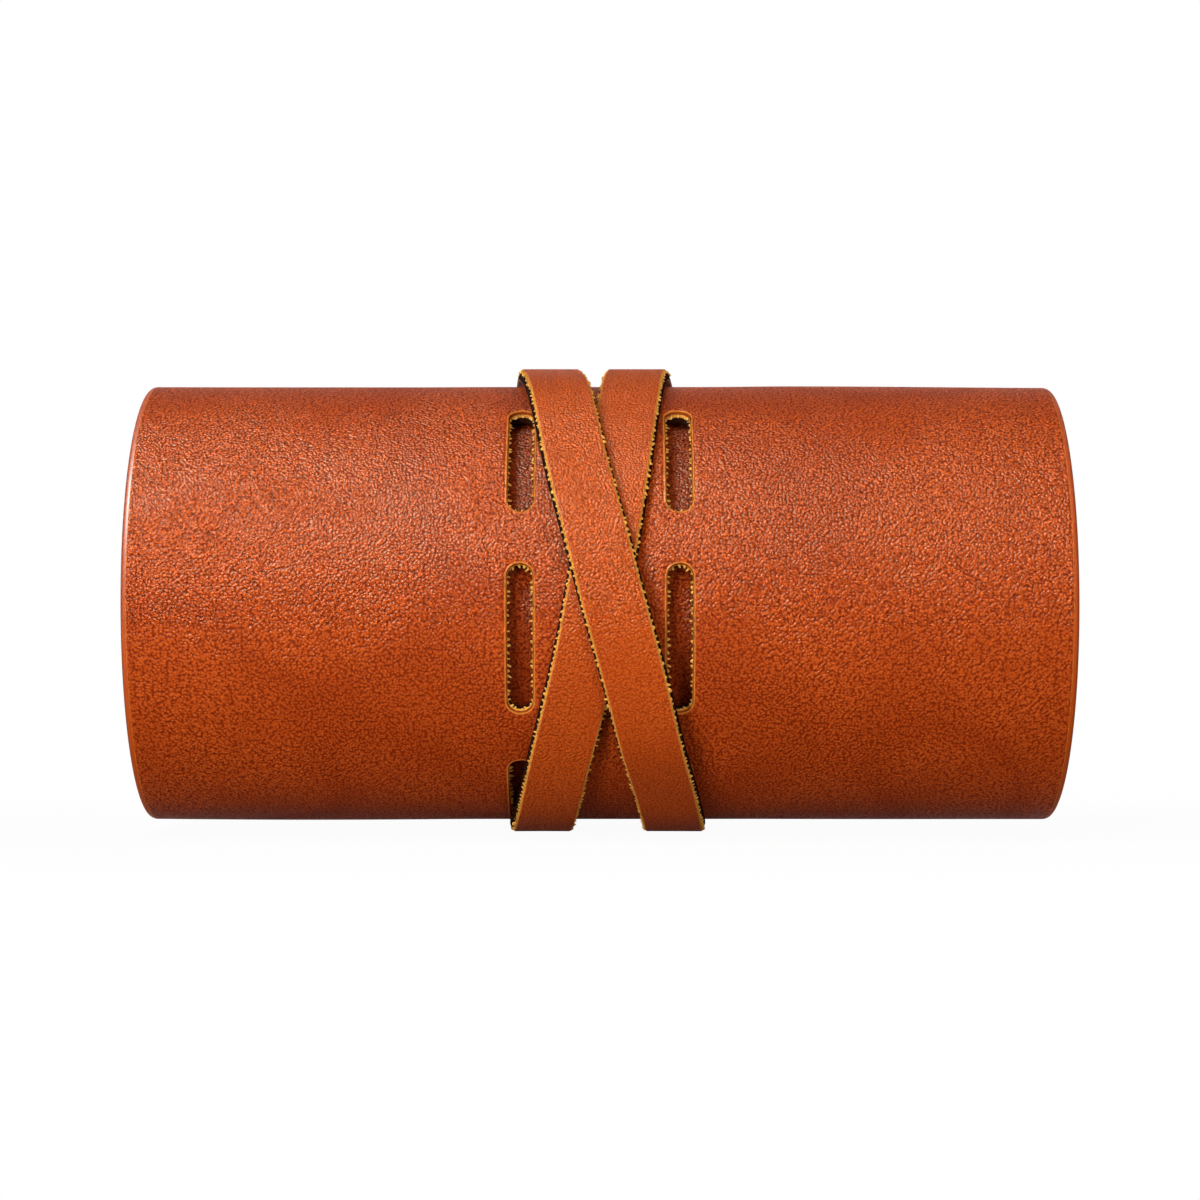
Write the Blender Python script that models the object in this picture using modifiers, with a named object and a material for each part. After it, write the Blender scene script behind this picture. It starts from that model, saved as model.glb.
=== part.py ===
"""Leather tech organizer roll: a slotted leather sheet, rolled up and held shut by a strap wound twice.

Metres, +Z up. The roll lies along X and rests on the strap. A place round the roll is a turn in degrees:
0 at the front (-Y), 90 at the top, 180 at the back, 270 underneath.
"""

import math

import bmesh
import bpy
from mathutils import Matrix, Vector

# Running gap between pieces that touch, and how far a cutter passes the wall that it cuts
GAP = 0.0003
OVERRUN = 0.0015

# Cover: one sheet, its outer end at the back, rolled inwards from there
ROLL_LENGTH = 0.190
ROLL_RADIUS = 0.046
COVER_WALL = 0.0028
TURN_GAP = 0.0012
FLAP_EDGE_TURN = 190.0
STEP_IN_TURN = 70.0
COVER_TURN_STEP = 5.0
FULL_TURN = 360.0

# Slots in the outer turn, in two columns
SLOT_WIDTH = 0.0058
SLOT_COLUMN_SPACING = 0.0318
SLOT_SPANS = ((23.2, 59.3), (-28.8, 10.2), (-81.5, -43.6), (-132.0, -95.0))
SLOT_END_STEPS = 4
SLOT_SIDE_STEPS = 5
SLOT_TIP_SHARE = 0.2

# Closure strap
STRAP_WIDTH = 0.0127
STRAP_WALL = 0.0024
STRAP_SPREAD = 0.0157
STRAP_SLACK = 0.0011
STRAP_FLAT_DEPTH = 0.0005
STRAP_TURN_STEP = 5.0
STRAP_ROOT_TURN = -200.0
STRAP_HINGE_TURN = 570.0
STRAP_TIP_TURN = 608.0
STRAP_TIP_LENGTH = 0.008
STRAP_TIP_SHARE = 0.55
TOP_TURN = 90.0
SLACK_REACH_TURN = 50.0
CROSSING_TURNS = (306.0, 390.0)
JOIN_TURN = 514.0
CLIMB_TURN = 28.0

# Where the strap's middle line lies: degrees wound from the front, and sideways as a share of the spread
STRAP_ROUTE_SHARES = (
    (-240.0, 0.74),
    (-190.0, 0.74),
    (-140.0, 0.73),
    (-90.0, 0.52),
    (-35.0, 0.235),
    (5.0, -0.10),
    (48.0, -0.57),
    (90.0, -0.80),
    (180.0, -0.86),
    (270.0, -0.69),
    (321.0, -0.345),
    (352.0, 0.058),
    (382.0, 0.495),
    (417.0, 0.87),
    (450.0, 1.0),
    (510.0, 0.78),
    (570.0, 0.74),
    (640.0, 0.74),
)

# Keeper: a leather loop round both ends of the strap
KEEPER_WALL = 0.0013
KEEPER_BAND = 0.0090
KEEPER_TURN = 165.0
KEEPER_SIDE_GAP = 0.0005
KEEPER_CORNER = 0.0008
KEEPER_CORNER_STEPS = 3
KEEPER_BAND_STEPS = 2

# Pocket panel, inside the inner turn
PANEL_WALL = 0.0012
PANEL_TURNS = (205.0, 405.0)
PANEL_MARGIN = 0.003
PANEL_DEPTH = 0.118
SEAM_MARGIN = 0.004
SEAM_THREAD_RADIUS = 0.0004
SEAM_THREAD_STEPS = 40
POCKET_COUNT = 3

# Cable loops in a row along the roll, and their rivets
LOOP_COUNT = 3
LOOP_SPACING = 0.055
LOOP_WIDTH = 0.012
LOOP_WALL = 0.0014
LOOP_TURN = 84.0
LOOP_ARCH_TURN = 17.0
LOOP_FOOT_TURN = 12.0
LOOP_HEIGHT = 0.011
LOOP_SIDE_SHARE = 0.6
LOOP_TURN_STEP = 2.5
RIVET_POST_RADIUS = 0.0013
RIVET_HEAD_RADIUS = 0.0031
RIVET_HEAD_HEIGHT = 0.0008
RIVET_BACK_RADIUS = 0.0027
RIVET_BACK_HEIGHT = 0.0005
RIVET_SEAT_GAP = 0.0004
RIVET_STEPS = 12
RIVET_CROWN_SHARES = ((0.0, 1.0), (0.6, 0.9), (1.0, 0.35))

# Sizes that follow from those above
TURN_PITCH = COVER_WALL + TURN_GAP
STEP_START_TURN = FULL_TURN - STEP_IN_TURN
COVER_END_TURN = FULL_TURN + STEP_START_TURN
INNER_FACE_RADIUS = ROLL_RADIUS - TURN_PITCH - COVER_WALL
STRAP_PITCH = STRAP_WALL + GAP
STRAP_FACE_RADIUS = ROLL_RADIUS + GAP + STRAP_WALL
AXIS_HEIGHT = STRAP_FACE_RADIUS - STRAP_FLAT_DEPTH
KEEPER_FACE_RADIUS = STRAP_FACE_RADIUS + STRAP_PITCH + GAP + KEEPER_WALL
KEEPER_HALF_TURN = math.degrees(KEEPER_BAND / KEEPER_FACE_RADIUS / 2)
KEEPER_LOW_TURN = KEEPER_TURN + KEEPER_HALF_TURN
FRONT_REACH = STRAP_FACE_RADIUS + STRAP_PITCH
BACK_REACH = KEEPER_FACE_RADIUS * -math.cos(math.radians(KEEPER_LOW_TURN))
AXIS_Y = (FRONT_REACH - BACK_REACH) / 2

# Solidify's offsets, which grow a wall away from the sheet's face or behind it
OUTWARDS = 1.0
INWARDS = -1.0

# Edges sharper than this stay sharp in the shading, in degrees; points nearer than this become one
SHARP_EDGE_TURN = 40.0
MERGE_DISTANCE = GAP / 10.0

COLLECTION = "tech_organizer_roll"
CUTTER_COLLECTION = "cutters"


def clear_scene():
    for obj in list(bpy.data.objects):
        bpy.data.objects.remove(obj, do_unlink=True)


def new_collection(name):
    collection = bpy.data.collections.new(name)
    bpy.context.scene.collection.children.link(collection)
    return collection


def material(name, color, roughness, metallic=0.0):
    made = bpy.data.materials.new(name)
    made.use_nodes = True
    shader = made.node_tree.nodes["Principled BSDF"]
    shader.inputs["Base Color"].default_value = (*color, 1.0)
    shader.inputs["Roughness"].default_value = roughness
    shader.inputs["Metallic"].default_value = metallic
    return made


def smooth_step(value):
    held = min(max(value, 0.0), 1.0)
    return held * held * (3.0 - 2.0 * held)


def round_roll(turn, radius, sideways):
    """The point at this turn and radius from the roll's axis, and this far along the roll."""
    angle = math.radians(turn)
    return Vector((sideways, -radius * math.cos(angle), radius * math.sin(angle)))


def add_object(name, mesh, collection, finish=None, parent=None):
    obj = bpy.data.objects.new(name, mesh)
    collection.objects.link(obj)
    obj.parent = parent
    if finish:
        mesh.materials.append(finish)
    return obj


def sheet_mesh(name, steps_along, steps_across, place, closed=False):
    """A flat grid whose points go where place(along, across) says, each from 0 to 1.

    It faces away from the roll's axis. A closed sheet is one whose ends meet, as a loop's do.
    """
    grid = bmesh.new()
    bmesh.ops.create_grid(grid, x_segments=steps_along, y_segments=steps_across, size=1.0)
    for vertex in grid.verts:
        vertex.co = place((vertex.co.x + 1.0) / 2.0, (vertex.co.y + 1.0) / 2.0)
    if closed:
        bmesh.ops.remove_doubles(grid, verts=grid.verts, dist=MERGE_DISTANCE)
        bmesh.ops.recalc_face_normals(grid, faces=grid.faces)
    mesh = bpy.data.meshes.new(name)
    grid.to_mesh(mesh)
    grid.free()
    face = mesh.polygons[0]
    if not closed and face.normal.dot(Vector((0.0, face.center.y, face.center.z))) < 0.0:
        mesh.flip_normals()
    return mesh


def thicken(obj, wall, offset):
    solidify = obj.modifiers.new("wall", "SOLIDIFY")
    solidify.thickness = wall
    solidify.offset = offset
    solidify.use_even_offset = True


def shade(mesh):
    mesh.shade_smooth()
    mesh.set_sharp_from_angle(angle=math.radians(SHARP_EDGE_TURN))


def cutter(name, mesh, collection, parent):
    obj = add_object(name, mesh, collection, parent=parent)
    obj.hide_render = True
    obj.display_type = "WIRE"
    return obj


def cut(obj, collection):
    boolean = obj.modifiers.new("cut", "BOOLEAN")
    boolean.operation = "DIFFERENCE"
    boolean.solver = "EXACT"
    boolean.operand_type = "COLLECTION"
    boolean.collection = collection


# Cover


def cover_radius(wound):
    """Outer face of the cover, this many degrees in from its outer edge.

    Each turn ends in a step inwards.
    """
    turns, rest = divmod(wound, FULL_TURN)
    return ROLL_RADIUS - TURN_PITCH * (turns + smooth_step((rest - STEP_START_TURN) / STEP_IN_TURN))


def make_cover(parts, frame, finish, cutters):
    def place(along, across):
        wound = along * COVER_END_TURN
        return round_roll(FLAP_EDGE_TURN + wound, cover_radius(wound), (across - 0.5) * ROLL_LENGTH)

    mesh = sheet_mesh("roll_cover", round(COVER_END_TURN / COVER_TURN_STEP), 1, place)
    cover = add_object("roll_cover", mesh, parts, finish, frame)
    thicken(cover, COVER_WALL, INWARDS)
    cut(cover, cutters)
    shade(mesh)


def slot_steps():
    """Places along a slot, 0 to 1, with how wide it is there: round ends and a straight middle."""
    length = math.radians(SLOT_SPANS[0][1] - SLOT_SPANS[0][0]) * ROLL_RADIUS
    end = SLOT_WIDTH / 2.0 / length
    tip = math.asin(SLOT_TIP_SHARE)
    quarter = [tip + (math.pi / 2.0 - tip) * step / SLOT_END_STEPS for step in range(SLOT_END_STEPS + 1)]
    first = [(end * (1.0 - math.cos(angle)), math.sin(angle)) for angle in quarter]
    middle = [(end + (1.0 - 2.0 * end) * step / SLOT_SIDE_STEPS, 1.0) for step in range(1, SLOT_SIDE_STEPS)]
    last = [(1.0 - place, width) for place, width in reversed(first)]
    return first + middle + last


def make_slot_cutters(frame, collection):
    steps = slot_steps()
    inner = ROLL_RADIUS - COVER_WALL - TURN_GAP / 2.0
    for row, (low, high) in enumerate(SLOT_SPANS):
        for column, side in enumerate((-1.0, 1.0)):

            def place(along, across):
                share, width = steps[round(along * (len(steps) - 1))]
                middle = side * SLOT_COLUMN_SPACING / 2.0
                return round_roll(
                    low + (high - low) * share, inner, middle + (across - 0.5) * SLOT_WIDTH * width
                )

            name = f"slot_cutter_{row + 1}_{'left' if column == 0 else 'right'}"
            mesh = sheet_mesh(name, len(steps) - 1, 1, place)
            obj = cutter(name, mesh, collection, frame)
            thicken(obj, COVER_WALL + TURN_GAP / 2.0 + OVERRUN, OUTWARDS)


# Strap


def strap_sideways(turn):
    """Sideways place of the strap's middle line, on a smooth curve through the stations of its route."""
    stations = STRAP_ROUTE_SHARES
    at = 0
    while at < len(stations) - 2 and turn > stations[at + 1][0]:
        at += 1
    (start, low), (end, high) = stations[at], stations[at + 1]

    def slope(index):
        before, after = stations[max(index - 1, 0)], stations[min(index + 1, len(stations) - 1)]
        return (after[1] - before[1]) / (after[0] - before[0])

    step = end - start
    part = (turn - start) / step
    curve = (
        (2 * part**3 - 3 * part**2 + 1) * low
        + (part**3 - 2 * part**2 + part) * step * slope(at)
        + (3 * part**2 - 2 * part**3) * high
        + (part**3 - part**2) * step * slope(at + 1)
    )
    return curve * STRAP_SPREAD


def strap_radius(turn):
    """Inner face of the strap: snug on the cover with a little slack on top.

    It climbs over the pass that it crosses, and over its own start at the back.
    """
    from_top = abs((turn + TOP_TURN + FULL_TURN / 2.0) % FULL_TURN - FULL_TURN / 2.0)
    slack = STRAP_SLACK * smooth_step(1.0 - from_top / SLACK_REACH_TURN)
    onto, off = CROSSING_TURNS
    crossing = smooth_step((turn - onto) / CLIMB_TURN + 1.0) * smooth_step((off - turn) / CLIMB_TURN + 1.0)
    join = smooth_step((turn - JOIN_TURN) / CLIMB_TURN + 1.0)
    return ROLL_RADIUS + GAP + slack + STRAP_PITCH * max(crossing, join)


def strap_place(first, last, tip=False):
    """Puts a strip of the strap between two turns on the roll, its sides square to its route."""
    length = math.radians(last - first) * STRAP_FACE_RADIUS

    def place(along, across):
        turn = first + (last - first) * along
        nudge = 0.5
        rise = (strap_sideways(turn + nudge) - strap_sideways(turn - nudge)) / (
            2.0 * math.radians(nudge) * STRAP_FACE_RADIUS
        )
        lean = math.atan(rise)
        from_tip = (1.0 - along) * length / STRAP_TIP_LENGTH
        taper = 1.0
        if tip and from_tip < 1.0:
            taper = STRAP_TIP_SHARE + (1.0 - STRAP_TIP_SHARE) * math.sqrt(1.0 - (1.0 - from_tip) ** 2)
        off = (across - 0.5) * STRAP_WIDTH * taper
        there = turn - math.degrees(off * math.sin(lean) / STRAP_FACE_RADIUS)
        return round_roll(-there, strap_radius(there), strap_sideways(turn) + off * math.cos(lean))

    return place


def make_strap(parts, frame, finish, cutters):
    steps = round((STRAP_HINGE_TURN - STRAP_ROOT_TURN) / STRAP_TURN_STEP)
    mesh = sheet_mesh("closure_strap", steps, 1, strap_place(STRAP_ROOT_TURN, STRAP_HINGE_TURN))
    strap = add_object("closure_strap", mesh, parts, finish, frame)
    thicken(strap, STRAP_WALL, OUTWARDS)
    cut(strap, cutters)
    shade(mesh)
    return strap


def make_floor_cutter(frame, collection):
    """A slab under the roll that leaves the strap flat where it rests."""
    size = Vector((ROLL_LENGTH, ROLL_RADIUS, STRAP_WALL))
    block = bmesh.new()
    bmesh.ops.create_cube(block, size=1.0)
    bmesh.ops.scale(block, vec=size, verts=block.verts)
    mesh = bpy.data.meshes.new("floor_cutter")
    block.to_mesh(mesh)
    block.free()
    slab = cutter("floor_cutter", mesh, collection, frame)
    slab.location.z = -AXIS_HEIGHT - STRAP_WALL / 2.0


def make_tail(parts, strap, finish):
    """The strap's free end; its origin is on the line that it lifts about, at the strap's outer face."""
    hinge_point = round_roll(-STRAP_HINGE_TURN, strap_radius(STRAP_HINGE_TURN) + STRAP_WALL, 0.0)
    start = STRAP_HINGE_TURN + math.degrees(GAP / ROLL_RADIUS)
    steps = round((STRAP_TIP_TURN - start) / STRAP_TURN_STEP) * 2
    mesh = sheet_mesh("strap_tail", steps, 1, strap_place(start, STRAP_TIP_TURN, tip=True))
    mesh.transform(Matrix.Translation(-hinge_point))
    tail = add_object("strap_tail", mesh, parts, finish, strap)
    tail.location = hinge_point
    thicken(tail, STRAP_WALL, OUTWARDS)
    shade(mesh)


def keeper_outline():
    """Sideways place and radius of points round the keeper's inner face, with rounded corners."""
    half = STRAP_WIDTH / 2.0 + KEEPER_SIDE_GAP
    low = ROLL_RADIUS
    high = STRAP_FACE_RADIUS + STRAP_PITCH + GAP
    points = []
    for corner, (side, radius) in enumerate(((1, high), (-1, high), (-1, low), (1, low))):
        inward = 1.0 if radius == low else -1.0
        middle = (side * (half - KEEPER_CORNER), radius + inward * KEEPER_CORNER)
        for step in range(KEEPER_CORNER_STEPS + 1):
            angle = math.pi / 2.0 * (corner + step / KEEPER_CORNER_STEPS)
            points.append(
                (middle[0] + KEEPER_CORNER * math.cos(angle), middle[1] + KEEPER_CORNER * math.sin(angle))
            )
    return points + points[:1]


def make_keeper(parts, strap, finish):
    outline = keeper_outline()
    middle = strap_sideways(FULL_TURN * 2.0 - KEEPER_TURN)

    def place(along, across):
        sideways, radius = outline[round(along * (len(outline) - 1))]
        turn = KEEPER_TURN + (across * 2.0 - 1.0) * KEEPER_HALF_TURN
        return round_roll(turn, radius, middle + sideways)

    mesh = sheet_mesh("strap_keeper", len(outline) - 1, KEEPER_BAND_STEPS, place, closed=True)
    keeper = add_object("strap_keeper", mesh, parts, finish, strap)
    thicken(keeper, KEEPER_WALL, OUTWARDS)
    shade(mesh)


# Inside the roll


def panel_face_radius():
    return INNER_FACE_RADIUS - GAP


def make_panel(parts, frame, finish):
    first, last = PANEL_TURNS
    edge = -ROLL_LENGTH / 2.0 + PANEL_MARGIN

    def place(along, across):
        return round_roll(first + (last - first) * along, panel_face_radius(), edge + PANEL_DEPTH * across)

    mesh = sheet_mesh("pocket_panel", round((last - first) / COVER_TURN_STEP), 1, place)
    panel = add_object("pocket_panel", mesh, parts, finish, frame)
    thicken(panel, PANEL_WALL, INWARDS)
    shade(mesh)


def make_thread(name, points, parts, frame, finish):
    curve = bpy.data.curves.new(name, "CURVE")
    curve.dimensions = "3D"
    curve.bevel_depth = SEAM_THREAD_RADIUS
    curve.bevel_resolution = 1
    curve.use_fill_caps = True
    spline = curve.splines.new("POLY")
    spline.points.add(len(points) - 1)
    for point, place in zip(spline.points, points):
        point.co = (*place, 1.0)
    curve.materials.append(finish)
    thread = bpy.data.objects.new(name, curve)
    parts.objects.link(thread)
    thread.parent = frame


def make_seams(parts, frame, finish):
    """One thread along the pockets' bottom, and one along each side and between the pockets."""
    radius = panel_face_radius() - PANEL_WALL - GAP - SEAM_THREAD_RADIUS
    side = math.degrees(SEAM_MARGIN / radius)
    first, last = PANEL_TURNS[0] + side, PANEL_TURNS[1] - side
    bottom = -ROLL_LENGTH / 2.0 + PANEL_MARGIN + SEAM_MARGIN
    start = bottom + SEAM_THREAD_RADIUS + GAP * 2.0
    mouth = -ROLL_LENGTH / 2.0 + PANEL_MARGIN + PANEL_DEPTH
    arc = [first + (last - first) * step / SEAM_THREAD_STEPS for step in range(SEAM_THREAD_STEPS + 1)]
    make_thread(
        "pocket_seam_bottom", [round_roll(turn, radius, bottom) for turn in arc], parts, frame, finish
    )
    for line in range(POCKET_COUNT + 1):
        turn = first + (last - first) * line / POCKET_COUNT
        ends = [round_roll(turn, radius, start), round_roll(turn, radius, mouth)]
        make_thread(f"pocket_seam_{line + 1}", ends, parts, frame, finish)


def loop_places():
    return [LOOP_SPACING * (number - (LOOP_COUNT - 1) / 2.0) for number in range(LOOP_COUNT)]


def loop_rivet_turns():
    reach = LOOP_ARCH_TURN + LOOP_FOOT_TURN / 2.0
    return LOOP_TURN - reach, LOOP_TURN + reach


def make_loops(parts, frame, finish, cutters):
    half = LOOP_ARCH_TURN + LOOP_FOOT_TURN
    face = INNER_FACE_RADIUS - GAP
    steps = round(2.0 * half / LOOP_TURN_STEP)
    for number, middle in enumerate(loop_places()):

        def place(along, across):
            off = (along * 2.0 - 1.0) * half
            arch = smooth_step((1.0 - abs(off) / LOOP_ARCH_TURN) / LOOP_SIDE_SHARE)
            sideways = middle + (across - 0.5) * LOOP_WIDTH
            return round_roll(LOOP_TURN + off, face - LOOP_HEIGHT * arch, sideways)

        name = f"cable_loop_{number + 1}"
        mesh = sheet_mesh(name, steps, 1, place)
        loop = add_object(name, mesh, parts, finish, frame)
        thicken(loop, LOOP_WALL, INWARDS)
        cut(loop, cutters)
        shade(mesh)


def towards_axis(turn, radius, sideways):
    """Turns a piece made along Z to point at the roll's axis, its foot at this place."""
    inward = -round_roll(turn, 1.0, 0.0)
    turned = inward.to_track_quat("Z", "Y").to_matrix().to_4x4()
    return Matrix.Translation(round_roll(turn, radius, sideways)) @ turned


def make_rivets(parts, frame, finish):
    """Each rivet runs from behind the inner turn, through it and the loop's foot, to its head."""
    back_face = ROLL_RADIUS - TURN_PITCH
    seat = COVER_WALL + GAP + LOOP_WALL + 2.0 * RIVET_SEAT_GAP
    crown = [(RIVET_HEAD_RADIUS * out, seat + RIVET_HEAD_HEIGHT * up) for out, up in RIVET_CROWN_SHARES]
    profile = (
        *crown,
        (RIVET_HEAD_RADIUS, seat),
        (RIVET_POST_RADIUS, seat),
        (RIVET_POST_RADIUS, 0.0),
        (RIVET_BACK_RADIUS, 0.0),
        (RIVET_BACK_RADIUS, -RIVET_BACK_HEIGHT),
        (0.0, -RIVET_BACK_HEIGHT),
    )
    for number, middle in enumerate(loop_places()):
        for end, turn in zip(("front", "back"), loop_rivet_turns()):
            name = f"loop_rivet_{number + 1}_{end}"
            mesh = bpy.data.meshes.new(name)
            points = [(radius, 0.0, height) for radius, height in profile]
            mesh.from_pydata(points, [(at, at + 1) for at in range(len(points) - 1)], [])
            rivet = add_object(name, mesh, parts, finish, frame)
            rivet.matrix_local = towards_axis(turn, back_face + RIVET_SEAT_GAP, middle)
            screw = rivet.modifiers.new("turn", "SCREW")
            screw.steps = screw.render_steps = RIVET_STEPS
            screw.use_merge_vertices = True
            screw.merge_threshold = MERGE_DISTANCE


def make_rivet_cutters(frame, collection):
    reach = COVER_WALL + GAP + LOOP_WALL + RIVET_SEAT_GAP * 2.0
    for number, middle in enumerate(loop_places()):
        for end, turn in zip(("front", "back"), loop_rivet_turns()):
            drill = bmesh.new()
            bmesh.ops.create_cone(
                drill,
                cap_ends=True,
                segments=RIVET_STEPS,
                radius1=RIVET_POST_RADIUS + GAP,
                radius2=RIVET_POST_RADIUS + GAP,
                depth=reach,
            )
            bmesh.ops.translate(drill, vec=(0.0, 0.0, reach / 2.0), verts=drill.verts)
            name = f"rivet_cutter_{number + 1}_{end}"
            mesh = bpy.data.meshes.new(name)
            drill.to_mesh(mesh)
            drill.free()
            obj = cutter(name, mesh, collection, frame)
            obj.matrix_local = towards_axis(turn, ROLL_RADIUS - TURN_PITCH + RIVET_SEAT_GAP, middle)


def main():
    clear_scene()
    parts = new_collection(COLLECTION)
    cutters = new_collection(CUTTER_COLLECTION)
    cover_cuts, strap_cuts, loop_cuts = (
        bpy.data.collections.new(name) for name in ("cover_cuts", "strap_cuts", "loop_cuts")
    )
    for group in (cover_cuts, strap_cuts, loop_cuts):
        cutters.children.link(group)

    tan = material("cover_leather", (0.43, 0.085, 0.022), 0.45)
    strap_tan = material("strap_leather", (0.46, 0.095, 0.024), 0.5)
    lining = material("pocket_leather", (0.20, 0.055, 0.022), 0.6)
    thread = material("waxed_thread", (0.62, 0.48, 0.30), 0.7)
    brass = material("brass", (0.75, 0.55, 0.25), 0.3, 1.0)

    frame = bpy.data.objects.new("roll_axis", None)
    parts.objects.link(frame)
    frame.location = (0.0, AXIS_Y, AXIS_HEIGHT)

    make_slot_cutters(frame, cover_cuts)
    make_rivet_cutters(frame, loop_cuts)
    for obj in loop_cuts.objects:
        cover_cuts.objects.link(obj)
    make_floor_cutter(frame, strap_cuts)

    make_cover(parts, frame, tan, cover_cuts)
    strap = make_strap(parts, frame, strap_tan, strap_cuts)
    make_tail(parts, strap, strap_tan)
    make_keeper(parts, strap, strap_tan)
    make_panel(parts, frame, lining)
    make_seams(parts, frame, thread)
    make_loops(parts, frame, lining, loop_cuts)
    make_rivets(parts, frame, brass)


main()
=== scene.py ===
"""Leather tech organizer roll: the dressed scene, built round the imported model.

Metres, +Z up. The roll lies along X. A place round it is a turn in degrees: 0 at the front (-Y), 90 at the
top, 180 at the back and 270 underneath. Along the closing strap, a turn is counted the other way, as it is
wound.
"""

import logging
import math
from abc import ABC, abstractmethod
from dataclasses import dataclass, field
from enum import Enum
from typing import Callable, ClassVar, Sequence

import bmesh
import bpy
import numpy as np
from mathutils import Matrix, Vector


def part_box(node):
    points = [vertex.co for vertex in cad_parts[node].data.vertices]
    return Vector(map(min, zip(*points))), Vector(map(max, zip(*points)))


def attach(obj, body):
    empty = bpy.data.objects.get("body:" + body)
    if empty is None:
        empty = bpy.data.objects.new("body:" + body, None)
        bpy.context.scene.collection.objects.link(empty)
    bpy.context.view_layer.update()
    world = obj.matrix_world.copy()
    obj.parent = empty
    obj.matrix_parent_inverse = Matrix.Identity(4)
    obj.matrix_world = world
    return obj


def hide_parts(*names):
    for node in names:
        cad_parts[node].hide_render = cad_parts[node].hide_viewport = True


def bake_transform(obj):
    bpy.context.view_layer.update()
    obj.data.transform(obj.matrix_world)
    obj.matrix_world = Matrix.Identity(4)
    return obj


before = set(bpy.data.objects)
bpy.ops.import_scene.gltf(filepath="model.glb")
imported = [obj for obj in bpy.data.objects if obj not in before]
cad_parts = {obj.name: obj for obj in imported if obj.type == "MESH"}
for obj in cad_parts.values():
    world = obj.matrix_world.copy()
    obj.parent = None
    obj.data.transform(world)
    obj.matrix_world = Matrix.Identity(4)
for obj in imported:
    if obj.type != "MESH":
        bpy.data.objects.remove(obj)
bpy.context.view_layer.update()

LOGGER = logging.getLogger("organizer_roll")
FULL_TURN = 360.0
MERGE_DISTANCE = 1e-6
PLACE_DIGITS = 7
SHARP_EDGE = math.radians(50.0)
FLAT_UV = "flat"
WHITE = (1.0, 1.0, 1.0)
Color = tuple[float, float, float]
Span = tuple[float, float, float, float]
Socket = bpy.types.NodeSocket
Sockets = dict[str, Socket]
Place = Callable[[np.ndarray, np.ndarray, np.ndarray], np.ndarray]


class Body(Enum):
    """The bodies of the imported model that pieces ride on."""

    ROLL = "roll"
    STRAP = "strap"
    TAIL = "tail"
    KEEPER = "keeper"


class Slot(Enum):
    """The record's material slots."""

    COVER = "cover_leather"
    STRAP = "strap_leather"
    POCKET = "pocket_leather"
    THREAD = "thread"
    RIVET = "rivet"


class Field(Enum):
    """Values kept on each point of a piece for its materials."""

    RIM = "rim"
    DEPTH = "depth"


class Turning(Enum):
    """Which ends of a strip of leather are rounded over, and which are cut square to meet another piece."""

    BOTH = (True, True)
    START = (True, False)
    END = (False, True)
    NEITHER = (False, False)


def smooth_step(value: np.ndarray) -> np.ndarray:
    """Rises from 0 to 1 as 3t^2 - 2t^3, and is held outside.

    Args:
        value: where it is read, with 0 at the start of the rise and 1 at its end.

    Returns:
        The held and smoothed values.
    """
    held = np.clip(value, 0.0, 1.0)
    return held * held * (3.0 - 2.0 * held)


def circle(count: int) -> np.ndarray:
    """Evenly spaced angles round a circle, without the first one again."""
    return np.linspace(0.0, 2.0 * math.pi, count, endpoint=False)


def distances(path: np.ndarray) -> np.ndarray:
    """Distance along a path from its first point to each of its points."""
    return np.concatenate([[0.0], np.cumsum(np.linalg.norm(np.diff(path, axis=0), axis=1))])


def even(half: float, share: float, count: int) -> np.ndarray:
    """Even places over the middle share of a strip."""
    return np.linspace(-share, share, count) * half


def crowded(half: float, steps: np.ndarray, inner: np.ndarray) -> np.ndarray:
    """Places across a strip as shares of its half width: crowded at both edges, and chosen between them.

    Args:
        half: half the strip's width.
        steps: distances in from each edge.
        inner: places between them.

    Returns:
        Shares from -1 to 1.
    """
    return np.unique(np.round(np.concatenate([steps - half, inner, half - steps]), PLACE_DIGITS)) / half


@dataclass(frozen=True)
class RollAxis:
    """The line that everything is wound about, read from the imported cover's box."""

    y: float
    z: float
    radius: float
    length: float

    @classmethod
    def from_frame(cls) -> "RollAxis":
        """Half the cover's height is its radius, and its lowest Y and Z are a radius from the axis.

        Returns:
            The axis.
        """
        low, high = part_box("roll_cover")
        radius = (high.z - low.z) / 2.0
        return cls(low.y + radius, low.z + radius, radius, high.x - low.x)

    def point(self, turn: np.ndarray, radius: np.ndarray, sideways: np.ndarray) -> np.ndarray:
        """Point at x = sideways, y = axis - radius cos(turn), z = axis + radius sin(turn).

        Args:
            turn: degrees round the roll.
            radius: distance from the axis.
            sideways: place along the roll.

        Returns:
            Points, with their three coordinates last.
        """
        angle = np.radians(turn)
        forward, up = self.y - radius * np.cos(angle), self.z + radius * np.sin(angle)
        return np.stack(np.broadcast_arrays(sideways, forward, up), axis=-1)


AXIS = RollAxis.from_frame()


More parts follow.
